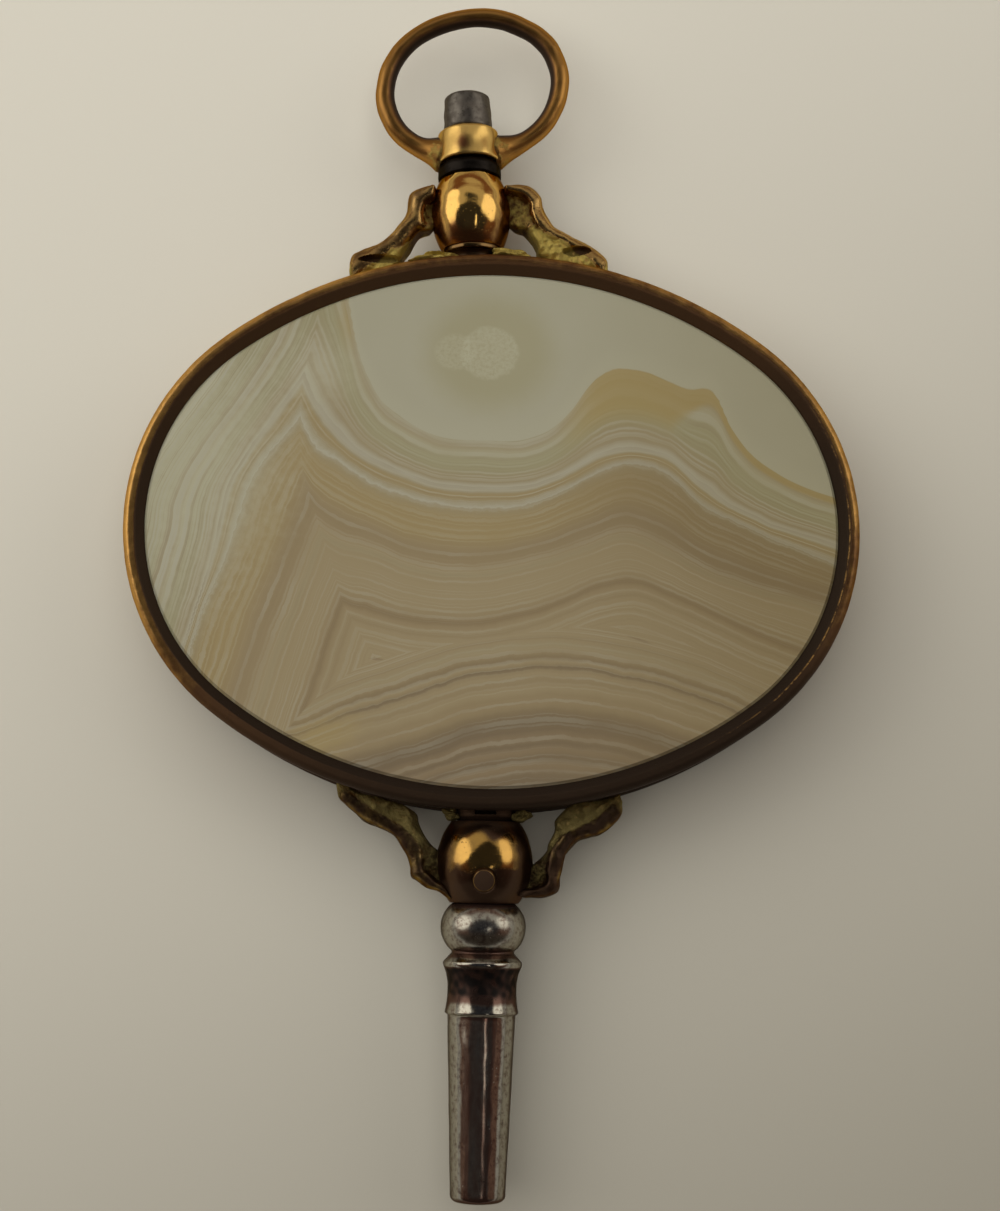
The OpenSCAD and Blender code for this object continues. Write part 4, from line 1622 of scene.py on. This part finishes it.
@dataclass
class Head:
    """The foot, bead, scrolls, post and bow on the upper side of the oval.

    A name in _y is a height from the oval's middle, in _r a radius, and in _w or _h a width or height.
    """

    bench: Bench
    band_y: float = 15.17
    bead_y: float = 16.41
    washer_y: float = 20.62
    collar_y: float = 21.56
    collar_h: float = 1.88
    post_y: float = 23.5
    post_top: float = 25.6
    bow_y: float = 26.23
    foot_r: float = 1.75
    cove_r: float = 0.34
    bead_r: float = 2.26
    bead_end_r: float = 1.7
    washer_r: float = 1.8
    waist_r: float = 1.66
    journal_r: float = 1.05
    post_r: float = 1.4
    post_top_r: float = 1.32
    collar_r: float = 1.88
    collar_top_r: float = 1.72
    bore_r: float = 1.12
    bow_w: float = 10.06
    bow_h: float = 8.52
    wire_r: float = 0.59
    ear_r: float = 1.08
    bow_lean: float = 0.08
    polished: GiltFinish = GiltFinish(
        "gilt_bead", gold=(0.78, 0.47, 0.13), brown=(0.27, 0.125, 0.05),
        cover=-0.02, gloss=0.1, dull=0.24, bite=0.006,
    )
    satin: GiltFinish = GiltFinish(
        "gilt_bow", gold=(0.45, 0.228, 0.06), brown=(0.165, 0.08, 0.037),
        cover=0.05, grain=0.9, gloss=0.34, dull=0.42,
    )
    cast: GiltFinish = GiltFinish(
        "gilt_scroll", gold=(0.58, 0.36, 0.12), brown=(0.17, 0.09, 0.042),
        cover=0.22, gloss=0.26, dull=0.38, bite=0.016,
    )
    # The foot's dark copy of the gilding is painted shade, for the shadow under the bead.
    shaded: GiltFinish = GiltFinish(
        "gilt_foot_painted_shade", gold=(0.22, 0.13, 0.05), brown=(0.07, 0.04, 0.022), cover=0.5, dull=0.45,
    )
    collar: GiltFinish = GiltFinish(
        "gilt_collar", gold=(0.82, 0.53, 0.16), brown=(0.22, 0.095, 0.04),
        cover=0.04, grain=1.0, gloss=0.3, dull=0.4,
    )
    iron: SteelFinish = SteelFinish(
        "hammered_steel", bare=(0.19, 0.17, 0.145), stain=(0.09, 0.078, 0.066),
        gloss=0.42, dull=0.5, along=1.0, bite=0.012,
    )
    # The washer's near-black steel is painted shade, for the dark gap between the collar and the bead.
    shade_painted_steel: SteelFinish = SteelFinish(
        "washer_steel_painted_shade", bare=(0.022, 0.018, 0.015), stain=(0.012, 0.01, 0.009), gloss=0.4, along=1.0,
    )
    left: ScrollForm = ScrollForm(
        outer=(
            (2.2, 20.15), (2.8, 20.05), (3.35, 19.82), (3.55, 19.35), (3.67, 18.74), (3.94, 18.12),
            (4.38, 17.52), (5.06, 17.01), (5.75, 16.7), (6.35, 16.45), (6.75, 16.25), (6.92, 15.8),
            (6.95, 15.3),
        ),
        inner=(
            (1.95, 19.9), (1.95, 19.3), (1.98, 18.6), (2.05, 18.0), (2.4, 17.62), (2.95, 17.5),
            (3.36, 16.95), (3.8, 16.35), (4.07, 15.9), (4.9, 15.0), (5.8, 14.75), (6.5, 14.6),
            (6.85, 14.5),
        ),
        half=1.2, seed=21, strip=1.35, fill=0.9, groove=0.015, grime=0.32,
        slot=((5.25, 15.82), (1.2, 0.22)),
    )
    right: ScrollForm = ScrollForm(
        outer=(
            (2.3, 19.95), (2.87, 20.07), (3.54, 19.82), (3.97, 19.36), (4.06, 18.83), (4.29, 18.2),
            (4.65, 17.56), (5.3, 17.01), (6.1, 16.63), (6.75, 16.3), (7.3, 15.8), (7.58, 15.4),
            (7.62, 14.9),
        ),
        inner=(
            (1.95, 19.8), (1.95, 19.2), (1.98, 18.5), (2.05, 17.95), (2.45, 17.55), (2.95, 17.42),
            (3.35, 16.95), (3.65, 16.4), (3.8, 15.9), (4.9, 15.0), (6.0, 14.7), (6.9, 14.4),
            (7.5, 14.2),
        ),
        half=1.2, seed=31, slot=((5.88, 15.9), (0.85, 0.27)),
    )

    def build(self) -> None:
        """Makes the head's fixed fittings, then the bow."""
        piece, placed = self.bench.piece, self.bench.key.head
        runs = [
            lump((-2.1, 15.66, 0.8), (1.3, 0.42, 1.1), 5, 51),
            lump((2.2, 15.66, 0.8), (1.15, 0.4, 1.1), -7, 53),
        ]
        fixed = [
            ("head_foot_turned", self._foot(), self.shaded, ["head_foot"]),
            ("head_bead_gilt", self._bead(), self.polished, ["head_bead"]),
            ("head_scroll_left_cast", self.left.skin(-1), self.cast, ["head_scroll_left"]),
            ("head_scroll_right_cast", self.right.skin(1), self.cast, ["head_scroll_right"]),
            ("swivel_washer_steel", self._washer(), self.shade_painted_steel, ["swivel_washer"]),
            ("swivel_post_steel", self._post(), self.iron, ["swivel_post"]),
            ("head_solder_left", runs[0], self.cast, []),
            ("head_solder_right", runs[1], self.cast, []),
        ]
        for name, skin, finish, nodes in fixed:
            piece(name, [skin], placed, finish, nodes)
        piece("bow_collar_gilt", [self._collar()], placed, self.collar, ["bow_collar"], Body.BOW)
        piece("bow_ring_wire", [self._bow()], placed, self.satin, ["bow_ring"], Body.BOW)

    def _foot(self) -> Skin:
        """The foot: a short post with a cove round its middle, run into the band.

        Returns:
            The closed skin.
        """
        cove = arc((self.foot_r, (self.band_y + self.bead_y) / 2), self.cove_r, 270, 90, 14)
        top = [(self.foot_r, self.bead_y), (1.2, self.bead_y + 0.02)]
        corners = np.vstack([[(self.foot_r, self.band_y - 0.6)], cove, top])
        return lathe(rounded(corners, 0.06), 0.05, 120, 61, 0.012, 0.9)

    def _bead(self) -> Skin:
        """The bead: a barrel with small round shoulders at its flat ends.

        Returns:
            The closed skin.
        """
        body = barrel(self.bead_r, self.bead_end_r, self.bead_y, self.washer_y)
        line = np.vstack([[(0.9, self.bead_y)], body, [(0.9, self.washer_y)]])
        skin = lathe(rounded(line, 0.07), 0.045, 260, 63, 0.009, 1.05, 0.05)
        # Partly tarnish, partly painted reflection and shade: the bead browns towards its lower end and
        # darkens at its limbs.
        wavering = skin.points[..., 1] - 0.2 * hand_marks(skin.points, 1.2, 64)
        low = clamp((self.bead_y + 1.5 - wavering) / 1.2)
        skin.marks[Mark.STAIN] = highest(0.8 * low, limb_shade(skin.points, 0.6))
        skin.marks[Mark.RECESS] = 0.5 * limb_shade(skin.points, 0.66)
        return skin

    def _washer(self) -> Skin:
        """The washer, with a waist between it and the collar.

        Returns:
            The closed skin.
        """
        low, high = self.washer_y, self.collar_y - 0.06
        line = [
            (1.2, low), (self.washer_r, low), (self.washer_r, high - 0.3),
            (self.waist_r, high), (1.15, high),
        ]
        return lathe(rounded(np.array(line), 0.1), 0.05, 120, 65, 0.01, 0.8)

    def _post(self) -> Skin:
        """The post's head: a smooth blunt cone with round edges, on the journal inside the collar.

        Returns:
            The closed skin.
        """
        line = [
            (self.journal_r, self.washer_y), (self.journal_r, self.post_y),
            (self.post_r - 0.02, self.post_y), (self.post_r, self.post_y + 0.5),
            (self.post_top_r, self.post_top), (0.2, self.post_top),
        ]
        return lathe(rounded(np.array(line), 0.22), 0.05, 140, 67, 0.012, 0.8)

    def _collar(self) -> Skin:
        """The collar: a short cone, its edges rounded by wear.

        Returns:
            The closed skin.
        """
        low, high = self.collar_y, self.collar_y + self.collar_h
        line = [(self.bore_r, low), (self.collar_r, low), (self.collar_top_r, high), (self.bore_r, high)]
        skin = lathe(rounded(np.array(line), 0.16), 0.045, 200, 69, 0.016, 1.1)
        x, y = skin.points[..., 0], skin.points[..., 1] - self.collar_y
        skin.marks[Mark.STAIN] = 0.85 * lobe(x, -0.3, 0.42, 2) * lobe(y, 0.7, 0.55, 2)
        return skin

    def _bow(self) -> Skin:
        """The bow: round wire along the oval's upper and side arcs, flared where it runs into the collar.

        Half the path is the long arc, the side arc and a straight end, set out by arc length, and the other
        half mirrors it. The section is the path + r (cos b N + sin b Z), and r grows along the end.

        Returns:
            The closed skin.
        """
        unit = (self.bow_w - self.bow_h) / 4
        side_r, long_r = self.bow_w / 2 - 3 * unit, self.bow_w / 2 + 2 * unit
        join = math.degrees(math.atan2(4, 3))
        last = -math.degrees(math.acos((2.3 - 3 * unit) / side_r))
        top = arc((0.0, -4 * unit), long_r, 90, join, 30)
        side = arc((3 * unit, 0.0), side_r, join, last, 80)
        step = side[-1] - side[-2]
        end = side[-1] + step / np.linalg.norm(step) * np.linspace(0.05, 1.0, 20)[:, None]
        half = spaced(np.vstack([top, side[1:], end]), 0.06)
        path = np.vstack([half[:0:-1] * np.array([-1, 1]), half])
        along = np.gradient(path, axis=0)
        along /= np.linalg.norm(along, axis=1, keepdims=True)
        normal = np.stack([-along[:, 1], along[:, 0]], -1)
        run = np.abs(np.linspace(-1, 1, len(path)))
        flare = clamp((run - 0.84) / 0.14) ** 1.8
        radius = (self.wire_r + (self.ear_r - self.wire_r) * flare)[:, None]
        angle = circle(64)
        flat = path[:, None] + (radius * np.cos(angle))[..., None] * normal[:, None]
        points = np.concatenate([flat, (radius * np.sin(angle))[..., None]], -1)
        worn = 0.012 * np.clip(1 + hand_marks(points, 1.8, 71), 0, None) + 0.04
        points[..., :2] -= (worn * np.cos(angle))[..., None] * normal[:, None]
        points[..., 2] -= worn * np.sin(angle)
        points[..., 0] += self.bow_lean * (points[..., 1] + self.bow_h / 2)
        points[..., 1] += self.bow_y
        solder = np.clip((run - 0.9) / 0.1, 0, 0.45)[:, None]
        # The ends darken where they run into the collar, and the wire's inner side darkens as painted shade.
        recess = clamp((run - 0.955) / 0.045)[:, None] * 0.7
        recess = highest(recess, 0.95 * clamp((-np.cos(angle) - 0.15) / 0.6))
        return Skin(points, {Mark.SOLDER: solder, Mark.RECESS: recess})


@dataclass
class Tail:
    """The foot, bead, pin, scrolls and winding pipe on the lower side of the oval.

    Names end as the head's do, and one in _l is a length along the pipe.
    """

    bench: Bench
    band_y: float = 15.17
    bead_y: float = 15.84
    pipe_y: float = 20.22
    pin_y: float = 19.03
    pin_r: float = 0.57
    bead_r: float = 2.61
    bead_end_r: float = 1.85
    foot_r: float = 1.75
    slot_w: float = 1.1
    slot_h: float = 0.3
    ring_y: float = 23.5
    stop_y: float = 25.6
    tip_y: float = 35.78
    ball_l: float = 2.5
    ball_r: float = 2.31
    ball_end_r: float = 1.71
    neck_r: float = 1.68
    ring_r: float = 2.14
    cove_r: float = 1.85
    stop_r: float = 1.98
    tube_r: float = 1.83
    tip_r: float = 1.47
    round_r: float = 0.34
    socket_w: float = 1.5
    socket_l: float = 5.5
    polished: GiltFinish = GiltFinish(
        "gilt_bead_browned", gold=(0.57, 0.33, 0.085), brown=(0.092, 0.053, 0.032), dirt_and_shade=(0.05, 0.03, 0.02),
        cover=0.02, gloss=0.14, dull=0.3, bite=0.006,
    )
    cast: GiltFinish = GiltFinish(
        "gilt_scroll_browned", gold=(0.40, 0.28, 0.105), brown=(0.085, 0.05, 0.031),
        solder=(0.25, 0.20, 0.075), cover=0.42, grain=2.6, gloss=0.3, dull=0.42, bite=0.04,
    )
    pipe: SteelFinish = SteelFinish(
        "pipe_steel", bare=(0.42, 0.395, 0.33), stain=(0.12, 0.068, 0.052),
        cover=-0.12, gloss=0.13, dull=0.15, slot=Slot.PIPE,
    )
    left: ScrollForm = ScrollForm(
        outer=(
            (1.8, 20.1), (2.4, 19.66), (3.16, 19.42), (3.65, 19.1), (3.98, 18.85), (4.06, 18.4),
            (4.22, 17.88), (4.48, 17.35), (4.82, 16.86), (5.27, 16.49), (5.77, 16.28), (6.38, 16.02),
            (7.0, 15.6), (7.68, 15.06), (7.99, 14.69), (8.07, 14.1),
        ),
        inner=(
            (1.7, 19.9), (1.9, 19.4), (2.1, 18.9), (2.25, 18.4), (2.35, 17.95), (2.55, 17.5),
            (2.85, 17.2), (3.12, 16.9), (3.41, 16.45), (3.62, 15.97), (3.75, 15.5), (4.5, 15.0),
            (5.4, 14.75), (6.4, 14.5), (7.2, 14.2), (7.9, 13.9),
        ),
        half=1.2, seed=23, fill=1.0, groove=0.02, grime=0.36,
    )
    right: ScrollForm = ScrollForm(
        outer=(
            (2.3, 19.9), (2.98, 19.84), (3.79, 19.63), (4.07, 19.35), (4.09, 18.82), (4.17, 18.24),
            (4.28, 17.8), (4.47, 17.4), (5.02, 16.78), (5.6, 16.55), (6.18, 16.4), (6.94, 15.87),
            (7.35, 15.35), (7.42, 14.7),
        ),
        inner=(
            (1.8, 19.8), (2.0, 19.3), (2.2, 18.8), (2.4, 18.4), (2.65, 18.1), (3.1, 17.75),
            (3.32, 17.4), (3.44, 16.9), (3.78, 16.28), (3.8, 15.7), (4.6, 14.9), (5.8, 14.6),
            (6.7, 14.4), (7.3, 14.2),
        ),
        half=1.2, seed=33, fill=0.96, groove=0.03, grime=0.5,
    )

    def build(self) -> None:
        """Makes the tail's fittings and the pipe."""
        placed = self.bench.key.tail
        runs = [
            lump((-1.8, 15.5, 0.5), (0.5, 0.3, 0.75), 6, 57),
            lump((1.85, 15.55, 0.5), (0.6, 0.34, 0.75), -6, 59),
        ]
        fixed = [
            ("tail_foot_turned", [self._foot()], self.cast, ["tail_foot"]),
            ("tail_bead_gilt", [self._bead()], self.polished, ["tail_bead"]),
            ("cross_pin_ends", [self._pin(1), self._pin(-1)], self.polished, ["cross_pin"]),
            ("tail_scroll_left_cast", [self.left.skin(-1)], self.cast, ["tail_scroll_left"]),
            ("tail_scroll_right_cast", [self.right.skin(1)], self.cast, ["tail_scroll_right"]),
            ("tail_solder_left", runs[:1], self.cast, []),
            ("tail_solder_right", runs[1:], self.cast, []),
            ("winding_pipe_steel", [self._pipe()], self.pipe, ["winding_pipe"]),
        ]
        for name, skins, finish, nodes in fixed:
            self.bench.piece(name, skins, placed, finish, nodes)

    def _bead_radius(self, height: Array) -> Array:
        """Radius of the bead at a height: the barrel's arc about its own middle.

        Args:
            height: distances from the oval's middle.

        Returns:
            The radii.
        """
        half, rise = (self.pipe_y - self.bead_y) / 2, self.bead_r - self.bead_end_r
        radius = (half * half + rise * rise) / (2 * rise)
        off = height - (self.pipe_y + self.bead_y) / 2
        return self.bead_r - radius + np.sqrt(radius * radius - off * off)

    def _foot(self) -> Skin:
        """The foot: a low flange with a slot cut into its front where it meets the band, dark all over and
        black in the slot as painted shade.

        Returns:
            The closed skin.
        """
        line = [
            (self.foot_r, self.band_y - 0.6), (self.foot_r, self.bead_y - 0.25),
            (1.5, self.bead_y), (0.9, self.bead_y + 0.02),
        ]
        skin = lathe(rounded(np.array(line), 0.08), 0.04, 240, 73, 0.012, 0.8)
        x, y, z = (skin.points[..., axis] for axis in range(3))
        cut = (np.abs(x) < self.slot_w / 2) & (y < self.band_y + self.slot_h) & (z > 0)
        skin.points[..., 2] = np.where(cut, 0.3, z)
        # Painted shade: the slot is black and the whole foot at least 0.6 dark.
        skin.marks[Mark.RECESS] = highest(skin.marks[Mark.RECESS], cut * 1.0, 0.6)
        return skin

    def _bead(self) -> Skin:
        """The bead: a barrel with a fine groove round each end of the pin.

        Returns:
            The closed skin.
        """
        body = barrel(self.bead_r, self.bead_end_r, self.bead_y, self.pipe_y, 60)
        line = np.vstack([[(0.9, self.bead_y)], body, [(0.9, self.pipe_y)]])
        skin = lathe(rounded(line, 0.07), 0.034, 440, 75, 0.011, 1.2, 0.05)
        x, y = skin.points[..., 0], skin.points[..., 1]
        away = np.hypot(x, y - self.pin_y)
        groove = lobe(away, self.pin_r + 0.03, 0.045, 2)
        skin.points[..., [0, 2]] *= (1 - 0.03 * groove)[..., None]
        # Partly tarnish, partly painted shade and reflection: both ends go brown and the limbs darken.
        wavering = y + 0.12 * hand_marks(skin.points, 1.4, 79)
        low = clamp((wavering - self.bead_y - 2.3) / 1.1)
        high = clamp((self.bead_y + 1.15 - wavering) / 0.9)
        skin.marks[Mark.STAIN] = highest(low, high, limb_shade(skin.points, 0.5))
        skin.marks[Mark.RECESS] = highest(0.6 * skin.marks[Mark.STAIN], 0.9 * groove)
        return skin

    def _pin(self, side: int) -> Skin:
        """One end of the pin: a disc that follows the bead's round, a little proud, with its wall sunk in.

        Rows go from the middle out to the rim and down the wall, and z is sqrt(R(y)^2 - x^2) + rise.

        Args:
            side: 1 for the front and -1 for the back.

        Returns:
            The closed skin.
        """
        share = np.concatenate([np.linspace(0.05, 0.92, 10), [0.97, 1.0, 1.0, 1.0]])[:, None]
        rise = np.concatenate([np.full(10, 0.028), [0.022, 0.0, -0.12, -0.3]])[:, None]
        angle = circle(72)
        x = self.pin_r * share * np.cos(angle)
        y = self.pin_y + self.pin_r * share * np.sin(angle)
        z = np.sqrt(self._bead_radius(y) ** 2 - x**2) + rise
        points = np.stack([x, y, z * side], -1)
        return Skin(points, {Mark.RECESS: np.where(share > 0.95, 0.2, 0.9)})

    def _pipe(self) -> Skin:
        """The pipe: the turned outside, then the square socket in its tip.

        The socket's rows are squares, whose points lie at half / max(|sin a|, |cos a|).

        Returns:
            The closed skin.
        """
        columns = 240
        skin = lathe(rounded(self._pipe_line(), 0.045), 0.05, columns, 77, 0.006, 1.2, 0.1)
        angle = circle(columns)
        square = self.socket_w / 2 / np.maximum(np.abs(np.sin(angle)), np.abs(np.cos(angle)))
        depths = np.array([0.16, 1.0, 2.5, 4.0, self.socket_l - 0.1, self.socket_l])[:, None]
        square = square * np.array([1.0, 1.0, 1.0, 1.0, 1.0, 0.4])[:, None]
        height = (self.tip_y - depths) * np.ones_like(angle)
        hole = np.stack([square * np.sin(angle), height, square * np.cos(angle)], -1)
        rows = len(skin.points)
        marks = {
            mark: np.concatenate([np.broadcast_to(value, (rows, columns)), np.zeros(hole.shape[:2])])
            for mark, value in skin.marks.items()
        }
        deep = np.concatenate([np.zeros(rows), np.ones(len(hole))])[:, None]
        points = np.concatenate([skin.points, hole])
        wear = self._pipe_wear(points)
        wear[Mark.RECESS] = highest(marks[Mark.RECESS], deep, wear[Mark.RECESS])
        return Skin(points, {**marks, **wear})

    def _pipe_line(self) -> Array:
        """Profile of the pipe: ball, neck, sharp ring, cove, lower ring, tapered tube and round tip.

        Returns:
            Radius and height of each corner.
        """
        start, ring, stop, tip = self.pipe_y, self.ring_y, self.stop_y, self.tip_y
        ball = barrel(self.ball_r, self.ball_end_r, start + 0.02, start + self.ball_l + 0.02)
        run = np.linspace(-1, 1, 28)
        hollow = self.cove_r + np.where(run < 0, 0.25, 0.13) * np.abs(run) ** 2.2
        cove = np.stack([hollow, (ring + stop + 0.45) / 2 + run * (stop + 0.25 - ring) / 2], -1)
        neck = [(self.neck_r, start + self.ball_l + 0.12), (self.ring_r, ring - 0.16), (self.ring_r, ring)]
        end = tip - self.round_r
        tube = [(self.stop_r, stop + 0.42), (self.tube_r, stop + 0.52), (self.tip_r, end - 0.02)]
        edge = arc((self.tip_r - self.round_r, end), self.round_r, 0, 90, 8)
        foot = [(1.3, start - 0.05), (1.6, start - 0.02)]
        return np.vstack([foot, ball, neck, cove, tube, edge, [(1.0, tip)]])

    def _pipe_wear(self, points: Array) -> dict[Mark, Array]:
        """Marks the pipe's stains, with painted reflection down the tube and painted shadow under the bead,
        its darkened cove, neck and limbs, and the duller ball.

        Args:
            points: the pipe's points.

        Returns:
            The STAIN, RECESS and SATIN marks.
        """
        x, y, z = (points[..., axis] for axis in range(3))
        start, ring, stop, tip = self.pipe_y, self.ring_y, self.stop_y, self.tip_y
        across = x / np.maximum(np.hypot(x, z), 0.1) + 0.07
        across = across + 0.05 * hand_marks(points * np.array([1.0, 0.3, 1.0]), 0.6, 81)
        # The brown band down the top of the tube is partly a stain, partly painted reflection of the brown
        # room.
        on_tube = clamp((y - stop - 0.4) / 0.2) * clamp((0.56 - np.abs(across)) / 0.12)
        on_cove = clamp((y - ring) / 0.2) * clamp((stop + 0.1 - y) / 0.8)
        on_neck = lobe(y, ring - 0.6, 0.3, 2)
        on_flare = 0.32 * lobe(y, stop + 0.1, 0.5)
        # Ends: painted shadow on the ball's top under the bead, and darkening at the tip.
        ends_shade_and_stain = clamp((y - tip + 0.5) / 0.4) + clamp((start + 0.5 - y) / 0.4)
        on_rings = highest(1.1 * on_cove, 0.9 * on_neck) + on_flare
        mottled = 0.8 + 0.12 * hand_marks(points, 0.5, 83)
        limbs = 0.7 * limb_shade(points, 0.84)
        return {
            Mark.STAIN: highest(0.8 * on_tube, 0.8 * ends_shade_and_stain, on_rings),
            Mark.RECESS: highest(mottled * on_cove, 0.45 * on_neck, 0.45 * clamp(ends_shade_and_stain), limbs),
            Mark.SATIN: clamp((start + self.ball_l + 0.1 - y) / 0.2),
        }


@dataclass(frozen=True)
class Glow:
    """A bright part of the room: the way to it, cosines where it starts and is full, and its strength."""

    toward: Place
    start: float
    full: float
    strength: float


@dataclass
class Studio:
    """The pale floor, the soft lamp and the room that the metal mirrors.

    Attributes:
        camera: the photograph's camera.
        floor_near: colour of the floor near the lamp, where the painted fall-off of light is brightest.
        floor_far: its colour at the other end, darker as painted fall-off of light.
        light_place: where the lamp stands, in millimetres.
        light_size: the lamp's width, in millimetres.
        light_power: its power in watts.
        warm: tint of all light.
        overhead: colour of the room overhead.
        walls: colour of its walls.
        behind: colour of its side behind the camera.
        paper: brightness of the paper low all round.
        band: brightness of the lit band.
        strip: brightness of the thin lamp overhead.
        glows: the two windows.
    """

    camera: PhotoCamera
    floor_near: Colour = (0.73, 0.715, 0.645)
    floor_far: Colour = (0.313, 0.297, 0.249)
    light_place: Place = (-90.0, 90.0, 270.0)
    light_size: float = 560.0
    light_power: float = 1.03
    warm: Colour = (1.0, 0.96, 0.88)
    overhead: Colour = (0.030, 0.031, 0.038)
    walls: Colour = (0.16, 0.085, 0.062)
    behind: Colour = (0.045, 0.035, 0.028)
    paper: float = 0.4
    band: float = 0.46
    strip: float = 2.2
    glows: tuple[Glow, ...] = (
        Glow((-0.82, 0.28, 0.50), 0.91, 0.955, 1.5),
        Glow((0.79, 0.30, 0.53), 0.92, 0.97, 1.3),
    )

    def build(self) -> None:
        """Makes the floor, the lamp, the room and the camera."""
        bpy.context.scene.view_settings.view_transform = "Standard"
        self._floor()
        self._lamp()
        self._room()
        self.camera.build()

    def _floor(self) -> None:
        """A plain pale sheet, wide enough for every view, whose colour darkens a little away from the lamp
        as painted fall-off of light.
        """
        made, graph, shader = new_material("pale_floor", self.floor_near)
        x, y, _ = graph.add("SeparateXYZ", {0: graph.place}).outputs
        # Painted light: the colour fades from floor_near to floor_far away from the lamp.
        away = graph.scaled(y, -0.95, graph.times(x, 0.45))
        away = graph.maths("POWER", graph.ramped(away, -70.0, 70.0), 1.6)
        colour = graph.mixed(away, self.floor_near, self.floor_far)
        graph.feed(shader, {"Base Color": colour, "Roughness": 0.65, "Specular IOR Level": 0.2})
        reach = 3.0
        mesh = bpy.data.meshes.new("floor")
        corners = [(-reach, -reach, 0), (reach, -reach, 0), (reach, reach, 0), (-reach, reach, 0)]
        mesh.from_pydata(corners, [], [(0, 1, 2, 3)])
        mesh.materials.append(made)
        sheet = bpy.data.objects.new("floor", mesh)
        bpy.context.scene.collection.objects.link(sheet)

    def _lamp(self) -> None:
        """One large soft lamp at the upper left, near enough for its light to fade across the floor."""
        data = bpy.data.lights.new("soft_lamp", "AREA")
        data.shape = "DISK"
        data.size = self.light_size * MM
        data.energy = self.light_power
        data.color = self.warm
        made = bpy.data.objects.new("soft_lamp", data)
        place = Vector(self.light_place) * MM
        made.matrix_world = Matrix.Translation(place) @ place.to_track_quat("Z", "Y").to_matrix().to_4x4()
        made.visible_camera = False
        made.visible_glossy = False
        bpy.context.scene.collection.objects.link(made)

    def _lit(self, strength: float) -> Colour:
        """The room's warm light at a strength."""
        return tuple(strength * channel for channel in self.warm)

    def _room(self) -> None:
        """The room: dark overhead, brown walls, a lit band, two windows, paper below and a thin lamp."""
        world = bpy.data.worlds.new("room")
        world.use_nodes = True
        world.node_tree.nodes.clear()
        graph = Graph(world.node_tree)
        way = graph.add("TexCoord").outputs["Generated"]
        x, y, z = graph.add("SeparateXYZ", {0: way}).outputs
        colour = graph.mixed(graph.ramped(z, 0.80, 0.66), self.overhead, self.walls)
        colour = graph.mixed(graph.ramped(y, -0.1, -0.55), colour, self.behind)
        top = graph.scaled(graph.ramped(y, 0.18, 0.4), -0.13, z)
        band = graph.times(graph.ramped(top, 0.76, 0.69), graph.ramped(z, 0.46, 0.58))
        band = graph.times(band, graph.ramped(y, 0.0, 0.2))
        colour = graph.mixed(band, colour, self._lit(self.band))
        for glow in self.glows:
            facing = graph.add("VectorMath", {0: way, 1: glow.toward}, operation="DOT_PRODUCT")
            share = graph.ramped(facing.outputs["Value"], glow.start, glow.full)
            colour = graph.mixed(share, colour, self._lit(glow.strength))
        colour = graph.mixed(graph.ramped(z, 0.3, 0.16), colour, self._lit(self.paper))
        beside = graph.maths("ABSOLUTE", graph.scaled(z, -0.32, x))
        along = graph.maths("ABSOLUTE", graph.maths("ADD", y, 0.11))
        strip = graph.times(graph.ramped(beside, 0.06, 0.025), graph.ramped(z, 0.85, 0.9))
        strip = graph.times(strip, graph.ramped(along, 0.11, 0.07))
        colour = graph.mixed(strip, colour, self._lit(self.strip))
        shade = graph.add("Background", {"Color": colour, "Strength": 1.0})
        graph.add("OutputWorld", {"Surface": shade.outputs[0]})
        bpy.context.scene.world = world


def main() -> None:
    """Builds the studio and the key's sub-assemblies."""
    logging.basicConfig(level=logging.INFO, format="%(name)s %(message)s")
    camera = PhotoCamera()
    Studio(camera).build()
    bench = Bench(KeyFrame.read())
    Case(bench, camera).build()
    Head(bench).build()
    Tail(bench).build()


if __name__ == "__main__":
    main()
